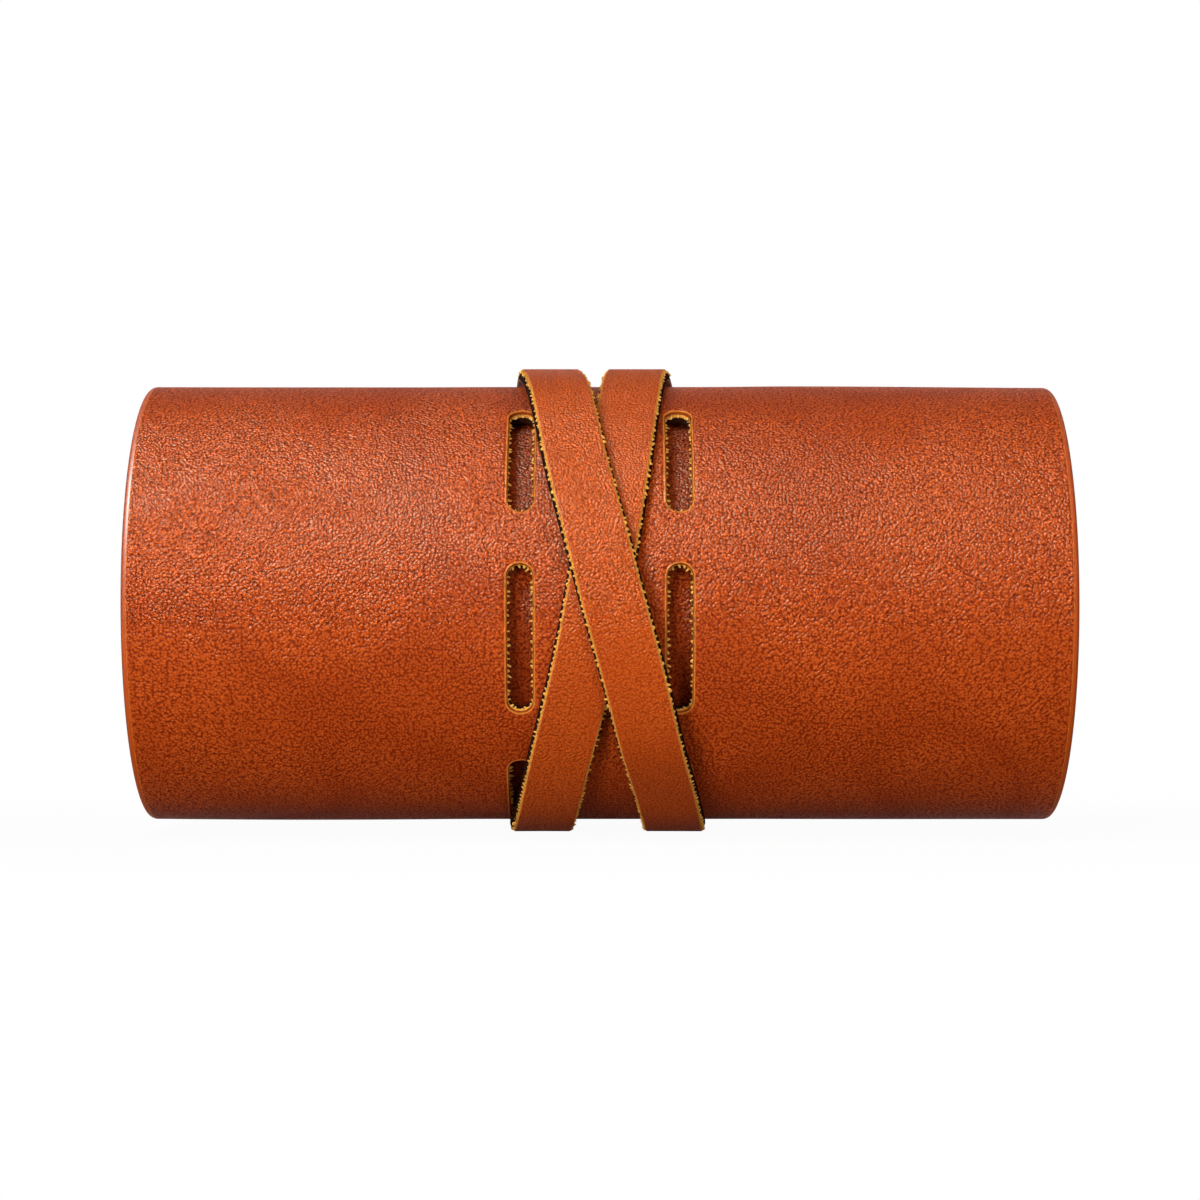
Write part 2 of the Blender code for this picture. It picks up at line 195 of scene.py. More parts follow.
@dataclass(frozen=True)
class EdgeShape:
    """How a cut edge falls away: how far in it starts, how deep it goes, and how round it is.

    A power of 1 is a straight bevel, and one of 2 a quarter of an ellipse.
    """

    reach: float
    depth: float
    power: float = 2.0
    STEPS: ClassVar[int] = 6

    def drop(self, inward: np.ndarray) -> np.ndarray:
        """Depth below the flat face, depth x (1 - (1 - (1 - d / reach)^p)^(1/p)) at a distance d in.

        Args:
            inward: distance from the cut edge.

        Returns:
            Depths, zero past the reach.
        """
        share = np.clip(inward / self.reach, 0.0, 1.0)
        return self.depth * (1.0 - (1.0 - (1.0 - share) ** self.power) ** (1.0 / self.power))

    def steps(self, rim: float) -> np.ndarray:
        """Distances in from the edge: reach x (1 - cos a), which crowd at it, and one past the worn rim."""
        angle = np.linspace(0.0, math.pi / 2.0, self.STEPS + 1)
        return np.append(self.reach * (1.0 - np.cos(angle)), self.reach + rim)


@dataclass(frozen=True)
class CutProfile:
    """The rim of a slot: (offset out of its outline, depth below the grain face), down to the flesh face.

    In order: a pressed groove, a lip, a rubbed bevel, a cut that slopes inwards and a rounded flesh edge.
    """

    stations: tuple = (
        (0.0015, 0.0),
        (0.0009, 0.0),
        (0.0005, 0.00003),
        (0.00032, 0.00011),
        (0.00018, 0.00006),
        (0.00006, -0.00003),
        (-0.00004, 0.0),
        (-0.00014, 0.00007),
        (-0.00024, 0.0002),
        (-0.00028, 0.00042),
        (-0.00032, 0.0008),
        (-0.00038, 0.0014),
        (-0.00046, 0.0020),
        (-0.00052, 0.0024),
        (-0.00048, 0.0027),
        (-0.0003, 0.0028),
        (0.0, 0.0028),
        (0.0012, 0.0028),
    )
    rubbed_from: int = 5
    flesh_from: int = 15
    rim_reach: float = 0.0005

    def rim(self) -> np.ndarray:
        """1 at the outline and inside it, falling to 0 at the reach outside."""
        return 1.0 - np.clip(np.array(self.stations)[:, 0] / self.rim_reach, 0.0, 1.0)


class Patchwork:
    """Gathers grids of points into one mesh, with a finish, a UV and a few values on each."""

    def __init__(self) -> None:
        """Starts with nothing."""
        self.points: list[np.ndarray] = []
        self.faces: list[np.ndarray] = []
        self.finish: list[np.ndarray] = []
        self.flat: list[np.ndarray] = []
        self.values: dict[Field, list[np.ndarray]] = {name: [] for name in Field}
        self.count = 0

    def grid(
        self,
        points: np.ndarray,
        flat: np.ndarray,
        finish: np.ndarray | int = 0,
        rim: np.ndarray | float = 0.0,
        depth: np.ndarray | float = 0.0,
        wrap: bool = False,
        keep: np.ndarray | None = None,
    ) -> None:
        """Adds one or many grids of rows and columns, where each four neighbours make a face.

        Args:
            points: (..., rows, columns, 3) places.
            flat: (..., rows, columns, 2) places on the flat leather, for patterns.
            finish: number of the finish, for all or for each cell.
            rim: 1 at a cut edge and 0 away from it.
            depth: 0 at the grain face and 1 at the flesh face.
            wrap: joins each row's last point to its first.
            keep: which cells of a single grid are made.
        """
        rows, columns = points.shape[-3:-1]
        numbers = np.arange(points[..., 0].size).reshape(-1, rows, columns) + self.count
        if wrap:
            numbers = np.concatenate([numbers, numbers[:, :, :1]], axis=2)
        corners = [numbers[:, :-1, :-1], numbers[:, 1:, :-1], numbers[:, 1:, 1:], numbers[:, :-1, 1:]]
        faces = np.stack(corners, axis=-1)
        chosen = np.ones(faces.shape[:3], bool) if keep is None else np.broadcast_to(keep, faces.shape[:3])
        self.points.append(points.reshape(-1, 3))
        self.flat.append(np.broadcast_to(flat, (*points.shape[:-1], 2)).reshape(-1, 2))
        self.faces.append(faces[chosen])
        self.finish.append(np.broadcast_to(finish, faces.shape[:3])[chosen])
        for name, value in ((Field.RIM, rim), (Field.DEPTH, depth)):
            self.values[name].append(np.broadcast_to(value, points.shape[:-1]).ravel())
        self.count += points[..., 0].size

    def make(self, name: str, finishes: "Sequence[Finish]") -> bpy.types.Object:
        """Puts what was gathered into one object, merged where grids meet, with its faces turned outwards.

        Args:
            name: the piece's name.
            finishes: its finishes, in the order of their numbers.

        Returns:
            The object, at the origin.
        """
        faces = np.concatenate(self.faces)
        mesh = bpy.data.meshes.new(name)
        mesh.from_pydata(np.concatenate(self.points).tolist(), [], faces.tolist())
        for finish in finishes:
            mesh.materials.append(finish.material())
        mesh.polygons.foreach_set("material_index", np.concatenate(self.finish).astype(np.int32))
        layer = mesh.uv_layers.new(name=FLAT_UV)
        layer.data.foreach_set("uv", np.concatenate(self.flat)[faces.ravel()].astype(np.float32).ravel())
        for kind, values in self.values.items():
            attribute = mesh.attributes.new(kind.value, "FLOAT", "POINT")
            attribute.data.foreach_set("value", np.concatenate(values).astype(np.float32))
        shell = bmesh.new()
        shell.from_mesh(mesh)
        bmesh.ops.remove_doubles(shell, verts=shell.verts, dist=MERGE_DISTANCE)
        bmesh.ops.recalc_face_normals(shell, faces=shell.faces)
        shell.to_mesh(mesh)
        shell.free()
        mesh.shade_smooth()
        mesh.set_sharp_from_angle(angle=SHARP_EDGE)
        obj = bpy.data.objects.new(name, mesh)
        bpy.context.scene.collection.objects.link(obj)
        return obj


@dataclass(frozen=True)
class Slit:
    """A long slot with round ends in a flat sheet, from one distance along to another."""

    start: float
    end: float
    middle: float
    width: float

    def spine(self, along: np.ndarray, across: np.ndarray) -> tuple[np.ndarray, np.ndarray]:
        """Splits places into the nearest point of the slot's middle line, and the direction away from it.

        Args:
            along: distances along the sheet.
            across: distances across it.

        Returns:
            The nearest points and the unit directions, both with (along, across) last.
        """
        half = self.width / 2.0
        held = np.clip(along, self.start + half, self.end - half)
        nearest = np.stack([held, np.full_like(across, self.middle)], -1)
        away = np.stack([along, across], -1) - nearest
        return nearest, away / np.linalg.norm(away, axis=-1, keepdims=True)

    def outline(self, spacing: float) -> tuple[np.ndarray, np.ndarray, np.ndarray]:
        """Evenly spaced points round the slot: two straight sides and two half circles.

        Args:
            spacing: distance from a point to the next.

        Returns:
            Places along and across, and the directions out of the slot.
        """
        half = self.width / 2.0
        straight = self.end - self.start - self.width
        bend = math.pi * half
        way = np.arange(0.0, 2.0 * (straight + bend), spacing)
        corners = np.cumsum([0.0, straight, bend, straight, bend])
        angles = np.array([0.0, 0.0, math.pi, math.pi, 2.0 * math.pi])
        angle = np.interp(way, corners, angles)
        line = np.interp(way, corners, [0.0, straight, straight, 0.0, 0.0]) + self.start + half
        away = np.stack([np.sin(angle), np.cos(angle)], -1)
        return line + half * away[:, 0], self.middle + half * away[:, 1], away


@dataclass
class Slab:
    """A strip or sheet of leather, closed all round, laid out flat and then put in place.

    Flat, a point is (along, across, depth): depth 0 is the grain face and depth `wall` the flesh face.
    """

    along: np.ndarray
    shares: np.ndarray
    half_width: Callable[[np.ndarray], np.ndarray]
    wall: float
    grain_edge: EdgeShape
    flesh_edge: EdgeShape
    place: Place
    turning: Turning = Turning.BOTH
    slits: tuple[Slit, ...] = ()
    slit_cut: CutProfile = CutProfile()
    slit_margin: float = 0.0018
    rim_reach: float = 0.0004
    wall_steps: int = 3
    GRAIN: ClassVar[int] = 0
    EDGE: ClassVar[int] = 1
    FLESH: ClassVar[int] = 2
    SLIT_EDGE: ClassVar[int] = 3

    def inward(self, along: np.ndarray, across: np.ndarray) -> np.ndarray:
        """Distance from the nearest rounded edge: the least of those to the sides and the rounded ends.

        Args:
            along: distances along.
            across: distances across.

        Returns:
            Distances, never below zero.
        """
        nearest = self.half_width(along) - np.abs(across)
        for rounded, end in zip(self.turning.value, (along - self.along[0], self.along[-1] - along)):
            if rounded:
                nearest = np.minimum(nearest, end)
        return np.maximum(nearest, 0.0)

    def block(self, slit: Slit) -> tuple[int, int, int, int]:
        """Rows and columns of the grid that a slot and its margin lie between.

        Args:
            slit: the slot.

        Returns:
            First and last row, first and last column.
        """
        across = self.shares * self.half_width(self.along).max()
        margin, half = self.slit_margin, slit.width / 2.0
        first = int(np.searchsorted(self.along, slit.start - margin, "right")) - 1
        last = int(np.searchsorted(self.along, slit.end + margin))
        left = int(np.searchsorted(across, slit.middle - half - margin, "right")) - 1
        right = int(np.searchsorted(across, slit.middle + half + margin))
        return first, last, left, right

    @staticmethod
    def around(values: np.ndarray) -> np.ndarray:
        """The outer ring of a grid's points, in order, without the first one again."""
        return np.concatenate([values[0], values[1:, -1], values[-1, -2::-1], values[-2:0:-1, 0]])

    def wall_between(self, made: Patchwork, ring: np.ndarray, top: np.ndarray, low: np.ndarray) -> None:
        """Closes the slab round its outside, in straight steps from the grain face's edge to the other's.

        Args:
            made: what the wall is added to.
            ring: (points, 2) flat places of the outside.
            top: depths of the grain face there.
            low: depths of the flesh face there.
        """
        share = np.linspace(0.0, 1.0, self.wall_steps + 1)[:, None]
        along, across, depth = np.broadcast_arrays(*ring.T, top + (low - top) * share)
        flat = np.stack([along, across + (depth - top) * np.sign(across)], -1)
        points = self.place(along, across, depth)
        made.grid(points, flat, self.EDGE, 1.0, depth / self.wall, wrap=True)

    def slit_patch(self, made: Patchwork, slit: Slit, ring: np.ndarray) -> None:
        """Fills a block of the sheet round a slot: rings from the block to the rim, down the cut and back.

        A ring lies where the slot's outline, grown by an offset, is nearest to the block's own points.

        Args:
            made: what the patch is added to.
            slit: the slot.
            ring: (points, 2) flat places round the block.
        """
        nearest, away = slit.spine(ring[:, 0], ring[:, 1])
        offsets, depths = np.array(self.slit_cut.stations).T
        grown = nearest + (slit.width / 2.0 + offsets[:, None, None]) * away
        flat = np.concatenate([ring[None], grown, ring[None]])
        depth = np.concatenate([[0.0], depths, [self.wall]])[:, None]
        rim = np.concatenate([[0.0], self.slit_cut.rim(), [0.0]])[:, None]
        finish = np.full(len(flat) - 1, self.SLIT_EDGE)
        finish[: self.slit_cut.rubbed_from + 1] = self.GRAIN
        finish[self.slit_cut.flesh_from + 1 :] = self.FLESH
        points = self.place(flat[..., 0], flat[..., 1], depth)
        flat = flat + away * (depth * (depth > 0.0))[..., None]
        made.grid(points, flat, finish[:, None], rim, depth / self.wall, wrap=True)

    def add_to(self, made: Patchwork) -> None:
        """Adds the grain face, the flesh face, the outside wall and the slots.

        Args:
            made: what they are added to.
        """
        along = np.broadcast_to(self.along[:, None], (len(self.along), len(self.shares)))
        across = self.shares[None, :] * self.half_width(self.along)[:, None]
        inward = self.inward(along, across)
        flat = np.stack([along, across], -1)
        keep = np.ones((len(self.along) - 1, len(self.shares) - 1), bool)
        for slit in self.slits:
            first, last, left, right = self.block(slit)
            keep[first:last, left:right] = False
            self.slit_patch(made, slit, self.around(flat[first : last + 1, left : right + 1]))
        rim = 1.0 - np.clip((inward - self.grain_edge.reach) / self.rim_reach, 0.0, 1.0)
        centre = (inward[:-1, :-1] + inward[1:, :-1] + inward[1:, 1:] + inward[:-1, 1:]) / 4.0
        grain = np.where(centre < self.grain_edge.reach, self.EDGE, self.GRAIN)
        top = self.grain_edge.drop(inward)
        low = self.wall - self.flesh_edge.drop(inward)
        made.grid(self.place(along, across, top), flat, grain, rim, top / self.wall, keep=keep)
        made.grid(self.place(along, across, low), flat, self.FLESH, 0.0, low / self.wall, keep=keep)
        self.wall_between(made, self.around(flat), self.around(top), self.around(low))

    def build(self, name: str, finishes: "Sequence[Finish]") -> bpy.types.Object:
        """Makes the slab by itself.

        Args:
            name: the piece's name.
            finishes: its finishes: grain side, edge, flesh side and slots' edge.

        Returns:
            The piece.
        """
        made = Patchwork()
        self.add_to(made)
        return made.make(name, finishes)


def end_rows(length: float, step: float, steps: np.ndarray, turning: Turning = Turning.BOTH) -> np.ndarray:
    """Distances along a strip: even steps, crowded at the ends that are rounded over.

    Args:
        length: the strip's length.
        step: the even step.
        steps: distances in from a rounded end.
        turning: which ends are rounded.

    Returns:
        Distances from 0 to the length.
    """
    start, end = (steps if rounded else np.zeros(1) for rounded in turning.value)
    count = max(2, round((length - start[-1] - end[-1]) / step))
    middle = np.linspace(start[-1], length - end[-1], count + 1)
    return np.concatenate([start[:-1], middle, (length - end)[::-1][1:]])


@dataclass(frozen=True)
class Fringe:
    """Loose fibres along a raw cut: short blunt teeth, uneven in size and in direction.

    From reach_change to flatness the numbers are shares: how uneven the reach and the width are and between
    which limits, how far the teeth lean, move along the cut and sink, and how flat they are.
    """

    spacing: float
    reach: float
    width: float
    fall: float
    seed: int
    reach_change: float = 0.35
    reach_limits: tuple[float, float] = (0.35, 1.7)
    width_change: float = 0.25
    width_limits: tuple[float, float] = (0.5, 1.6)
    lean: float = 0.35
    scatter: float = 0.17
    sink: float = 0.12
    flatness: float = 0.75
    sides: int = 6
    profile: tuple = ((-0.6, 0.0), (-0.15, 0.9), (0.25, 1.0), (0.6, 0.75), (0.88, 0.42), (1.0, 0.0))

    def add_to(
        self, made: Patchwork, place: Place, base: np.ndarray, away: np.ndarray, depth: float, finish: int
    ) -> None:
        """Adds a tooth at each base point: the profile's share of its width at each share of its reach.

        Args:
            made: what the fibres are added to.
            place: puts a flat place on the piece.
            base: (fibres, 2) flat places on the cut edge.
            away: (fibres, 2) unit directions out of the leather.
            depth: the depth that they start at, and they fall from it as they reach out.
            finish: number of their finish.
        """
        draw = np.random.default_rng(self.seed + len(base))
        longer, wider, leaning, moved, sunken = draw.normal(size=(5, len(base), 1, 1))
        share, radius = (np.array(column)[:, None] for column in zip(*self.profile))
        angle = circle(self.sides)[None, :]
        reach = self.reach * np.clip(1.0 + self.reach_change * longer, *self.reach_limits)
        size = radius * self.width / 2.0 * np.clip(1.0 + self.width_change * wider, *self.width_limits)
        sideways = np.stack([-away[:, 1], away[:, 0]], -1)[:, None, None, :]
        shift = share * reach * self.lean * leaning + size * np.cos(angle)
        shift = shift + self.spacing * self.scatter * moved
        flat = base[:, None, None, :] + away[:, None, None, :] * (share * reach)[..., None]
        flat = flat + sideways * shift[..., None]
        low = depth + self.fall * share + self.width * self.sink * sunken
        points = place(flat[..., 0], flat[..., 1], low + size * self.flatness * np.sin(angle))
        made.grid(points, flat, finish, 1.0, np.clip(share, 0.0, 1.0), wrap=True)


# Materials


class NodeBench:
    """Adds nodes to one tree and joins them: a socket is given a value or another node's output."""

    def __init__(self, tree: bpy.types.NodeTree) -> None:
        """Works on this tree."""
        self.tree = tree

    def give(self, node: bpy.types.Node, sockets: dict) -> None:
        """Links or sets a node's inputs. A colour is given as three numbers, and its alpha is 1.

        Args:
            node: the node.
            sockets: outputs or values by input name or number.
        """
        for name, value in sockets.items():
            socket = node.inputs[name]
            if isinstance(value, Socket):
                self.tree.links.new(value, socket)
            else:
                socket.default_value = (*value, 1.0) if socket.type == "RGBA" else value

    def add(self, kind: str, sockets: dict | None = None, **settings: object) -> bpy.types.Node:
        """Adds a shader node.

        Args:
            kind: the node's type, without its prefix.
            sockets: outputs or values by input name or number.
            settings: the node's own options.

        Returns:
            The node.
        """
        node = self.tree.nodes.new("ShaderNode" + kind)
        for name, value in settings.items():
            setattr(node, name, value)
        self.give(node, sockets or {})
        return node

    def math(self, operation: str, *values: object) -> Socket:
        """A Math node's result for values or sockets."""
        return self.add("Math", dict(enumerate(values)), operation=operation).outputs[0]

    def mix(self, share: object, first: object, second: object, blend: str = "MIX") -> Socket:
        """A colour between two colours, or one blended over the other."""
        sockets = {0: share, 6: first, 7: second}
        return self.add("Mix", sockets, data_type="RGBA", blend_type=blend, clamp_factor=True).outputs[2]

    def span(self, value: object, low: float, high: float, to_low: float = 0, to_high: float = 1) -> Socket:
        """A value carried smoothly from one range to another, and held at its ends."""
        sockets = {"Value": value, "From Min": low, "From Max": high, "To Min": to_low, "To Max": to_high}
        return self.add("MapRange", sockets, interpolation_type="SMOOTHSTEP").outputs[0]

    def noise(self, vector: object, scale: float, detail: float, roughness: float = 0.55) -> bpy.types.Node:
        """A flat noise texture."""
        sockets = {"Vector": vector, "Scale": scale, "Detail": detail, "Roughness": roughness}
        return self.add("TexNoise", sockets, noise_dimensions="2D")

    def vector(self, operation: str, *values: object, **more: object) -> Socket:
        """A Vector Math node's result for vectors or sockets, and for the Scale of a scaling."""
        return self.add("VectorMath", {**dict(enumerate(values)), **more}, operation=operation).outputs[0]

    def turned(self, vector: object, angle: float) -> Socket:
        """A vector turned about Z."""
        sockets = {"Vector": vector, "Angle": angle}
        return self.add("VectorRotate", sockets, rotation_type="Z_AXIS").outputs[0]

    def bump(self, height: Socket, distance: float, strength: float = 1.0) -> Socket:
        """The normal of a surface that a height raises."""
        return self.add("Bump", {"Strength": strength, "Distance": distance, "Height": height}).outputs[0]

    def flat(self) -> Socket:
        """The place on the flat leather, in metres."""
        return self.add("UVMap", uv_map=FLAT_UV).outputs["UV"]

    def value(self, kind: Field) -> Socket:
        """One of the values kept on the piece's points."""
        return self.add("Attribute", attribute_name=kind.value).outputs["Fac"]


class ShaderGroup(ABC):
    """A node group with named inputs and outputs, made once and placed in each material that uses it."""

    name: ClassVar[str]
    inputs: ClassVar[dict[str, object]]
    outputs: ClassVar[dict[str, str]]

    @classmethod
    @abstractmethod
    def fill(cls, bench: NodeBench, given: Sockets) -> Sockets:
        """Builds the effect: from the inputs' sockets to the outputs'."""

    @classmethod
    def tree(cls) -> bpy.types.NodeTree:
        """The group's tree, made the first time that it is asked for.

        Returns:
            The tree.
        """
        made = bpy.data.node_groups.get(cls.name)
        if made:
            return made
        made = bpy.data.node_groups.new(cls.name, "ShaderNodeTree")
        for label, default in cls.inputs.items():
            kind = {float: "Float", tuple: "Color"}.get(type(default), "Vector")
            socket = made.interface.new_socket(label, in_out="INPUT", socket_type="NodeSocket" + kind)
            if kind == "Float":
                socket.default_value = default
            elif kind == "Color":
                socket.default_value = (*default, 1.0)
        for label, kind in cls.outputs.items():
            made.interface.new_socket(label, in_out="OUTPUT", socket_type="NodeSocket" + kind)
        start, end = made.nodes.new("NodeGroupInput"), made.nodes.new("NodeGroupOutput")
        bench = NodeBench(made)
        bench.give(end, cls.fill(bench, {socket.name: socket for socket in start.outputs if socket.name}))
        return made

    @classmethod
    def put(cls, bench: NodeBench, sockets: dict[str, object]) -> bpy.types.bpy_prop_collection:
        """Places the group in a tree and returns its outputs."""
        return bench.add("Group", sockets, node_tree=cls.tree()).outputs


class PebbleGrain(ShaderGroup):
    """Fine pebbled grain: soft domes in cells and smooth noise, with slanting wrinkles that come and go."""

    name = "pebble_grain"
    inputs = {"Vector": None, "Cell": 0.0008, "Wrinkles": 0.6}
    outputs = {"Height": "Float", "Tips": "Float"}
    WARPS: ClassVar = ((0.12, 1.2), (0.6, 0.3))
    CELLS: ClassVar = {"Smoothness": 0.3, "Randomness": 0.9}
    DOME_FALL: ClassVar[float] = 1.3
    DOME_TOP: ClassVar[float] = 0.9
    BLOB_SCALE: ClassVar[float] = 1.1
    BLOB_HEIGHT: ClassVar[float] = 0.55
    PATCH_SCALE: ClassVar[float] = 16.0
    WRINKLES: ClassVar = ((-0.75, (0.4, 0.56, 0.0, 1.0)), (0.8, (0.36, 0.46, 1.0, 0.0)))
    STRETCH: ClassVar = (0.4, 1.1, 1.0)
    CREASE: ClassVar = (0.25, 0.75)
    TIP_HEIGHTS: ClassVar = (0.3, 1.4)

    @classmethod
    def fill(cls, bench: NodeBench, given: Sockets) -> Sockets:
        """Height is 0.9 less 1.3 of the distance from the cell's middle, + 0.55 of a noise + wrinkles.

        A wrinkle is a noise stretched along a slant and sharpened by a smooth step, where the patches are.
        Tips are how high a place stands between the lowest and the highest, for colour.

        Args:
            bench: where the nodes are added.
            given: the inputs.

        Returns:
            The outputs.
        """
        place = bench.vector("SCALE", given["Vector"], Scale=bench.math("DIVIDE", 1.0, given["Cell"]))
        for scale, size in cls.WARPS:
            push = bench.noise(place, scale, 1.0).outputs["Color"]
            push = bench.vector("SUBTRACT", push, (0.5, 0.5, 0.5))
            place = bench.vector("ADD", place, bench.vector("SCALE", push, Scale=size))
        sockets = {"Vector": place, "Scale": 1.0, **cls.CELLS}
        cells = bench.add("TexVoronoi", sockets, feature="SMOOTH_F1", voronoi_dimensions="2D")
        dome = bench.math("MULTIPLY_ADD", cells.outputs["Distance"], -cls.DOME_FALL, cls.DOME_TOP)
        blobs = bench.math("MULTIPLY", bench.noise(place, cls.BLOB_SCALE, 0.0).outputs[0], cls.BLOB_HEIGHT)
        height = bench.math("ADD", dome, blobs)
        patch = bench.noise(given["Vector"], cls.PATCH_SCALE, 1.0).outputs[0]
        for slant, span in cls.WRINKLES:
            stretched = bench.vector("MULTIPLY", bench.turned(place, slant), cls.STRETCH)
            crease = bench.span(bench.noise(stretched, 1.0, 0.0).outputs[0], *cls.CREASE)
            share = bench.math("MULTIPLY", bench.span(patch, *span), given["Wrinkles"])
            height = bench.math("ADD", height, bench.math("MULTIPLY", crease, share))
        return {"Height": height, "Tips": bench.span(height, *cls.TIP_HEIGHTS)}


class Mottle(ShaderGroup):
    """Clouds and flecks of dye; darker grain valleys and paler tips, partly dye and partly painted shade
    and highlight.
    """

    name = "uneven_dye_and_grain_shade"
    inputs = {
        "Vector": None,
        "Color": (0.4, 0.1, 0.03),
        "Dark": (0.3, 0.06, 0.02),
        "Pale": (0.5, 0.15, 0.04),
        "Tips": 0.0,
    }
    outputs = {"Color": "Color", "Cloud": "Float"}
    TURN: ClassVar[float] = 0.6
    WIDE_SCALE: ClassVar[float] = 45.0
    WIDE_DARK: ClassVar[Span] = (0.35, 0.65, 0.22, 0.0)
    SMALL_SCALE: ClassVar[float] = 260.0
    SMALL_DARK: ClassVar[Span] = (0.5, 0.75, 0.0, 0.2)

    @classmethod
    def fill(cls, bench: NodeBench, given: Sockets) -> Sockets:
        """Valleys go dark, tips pale (partly painted shade and highlight), and clouds of 20 mm and 4 mm
        darken it a little.

        The clouds are turned off the sheet's axes, so that the noise's own grid doesn't show as lines.

        Args:
            bench: where the nodes are added.
            given: the inputs.

        Returns:
            The outputs.
        """
        place = bench.turned(given["Vector"], cls.TURN)
        wide = bench.noise(place, cls.WIDE_SCALE, 3.0).outputs[0]
        small = bench.noise(place, cls.SMALL_SCALE, 3.0, 0.65).outputs[0]
        # Darker valleys and paler tips: partly dye, partly painted shade and painted highlight on the
        # grain.
        color = bench.mix(bench.span(given["Tips"], 0.0, 0.5), given["Dark"], given["Color"])
        color = bench.mix(bench.span(given["Tips"], 0.5, 1.0), color, given["Pale"])
        color = bench.mix(bench.span(wide, *cls.WIDE_DARK), color, given["Dark"])
        color = bench.mix(bench.span(small, *cls.SMALL_DARK), color, given["Dark"])
        return {"Color": color, "Cloud": wide}


class RimWearAndHighlight(ShaderGroup):
    """Leather paler near a cut edge, unevenly: partly from rubbing, partly a painted highlight line along
    the rim.
    """

    name = "rim_wear_and_highlight"
    inputs = {"Vector": None, "Color": (0.4, 0.1, 0.03), "WearAndHighlight": (0.7, 0.3, 0.1), "Rim": 0.0}
    outputs = {"Color": "Color"}
    SCALE: ClassVar[float] = 900.0
    UNEVEN: ClassVar[Span] = (0.35, 0.65, 0.5, 1.0)
    POWER: ClassVar[float] = 3.0

    @classmethod
    def fill(cls, bench: NodeBench, given: Sockets) -> Sockets:
        """The paler colour's share is rim^3 times a noise between 0.5 and 1.

        Args:
            bench: where the nodes are added.
            given: the inputs.

        Returns:
            The outputs.
        """
        uneven = bench.span(bench.noise(given["Vector"], cls.SCALE, 2.0).outputs[0], *cls.UNEVEN)
        share = bench.math("MULTIPLY", bench.math("POWER", given["Rim"], cls.POWER), uneven)
        return {"Color": bench.mix(share, given["Color"], given["WearAndHighlight"])}


class CutFibres(ShaderGroup):
    """The fibres of cut leather: short streaks across the cut."""

    name = "cut_fibres"
    inputs = {"Vector": None, "Size": 0.0004}
    outputs = {"Share": "Float", "Height": "Float"}
    STRETCH: ClassVar = (1.0, 0.6, 1.0)
    LOW: ClassVar[Span] = (0.38, 0.6, 1.0, 0.0)

    @classmethod
    def fill(cls, bench: NodeBench, given: Sockets) -> Sockets:
        """The height is a noise, finer along the edge than across it, and the share is its low places.

        Args:
            bench: where the nodes are added.
            given: the inputs.

        Returns:
            The outputs.
        """
        scale = bench.math("DIVIDE", 1.0, given["Size"])
        place = bench.vector("MULTIPLY", bench.vector("SCALE", given["Vector"], Scale=scale), cls.STRETCH)
        streak = bench.noise(place, 1.0, 3.0, 0.65).outputs[0]
        return {"Share": bench.span(streak, *cls.LOW), "Height": streak}


def new_material(name: str) -> tuple[bpy.types.Material, NodeBench, bpy.types.Node]:
    """Makes a material with a Principled shader.

    Args:
        name: the material's name.

    Returns:
        The material, a bench on its tree, and the shader.
    """
    material = bpy.data.materials.new(name)
    material.use_nodes = True
    return material, NodeBench(material.node_tree), material.node_tree.nodes["Principled BSDF"]


class Finish(ABC):
    """A finish that makes its material once."""

    name: str

    @abstractmethod
    def dress(self, bench: NodeBench) -> dict[str, object]:
        """Adds the finish's nodes and returns outputs or values by the names of the shader's inputs."""

    def material(self) -> bpy.types.Material:
        """The finish's material, made the first time that it is asked for.

        Returns:
            The material.
        """
        known = bpy.data.materials.get(self.name)
        if known:
            return known
        made, bench, shader = new_material(self.name)
        bench.give(shader, self.dress(bench))
        return made


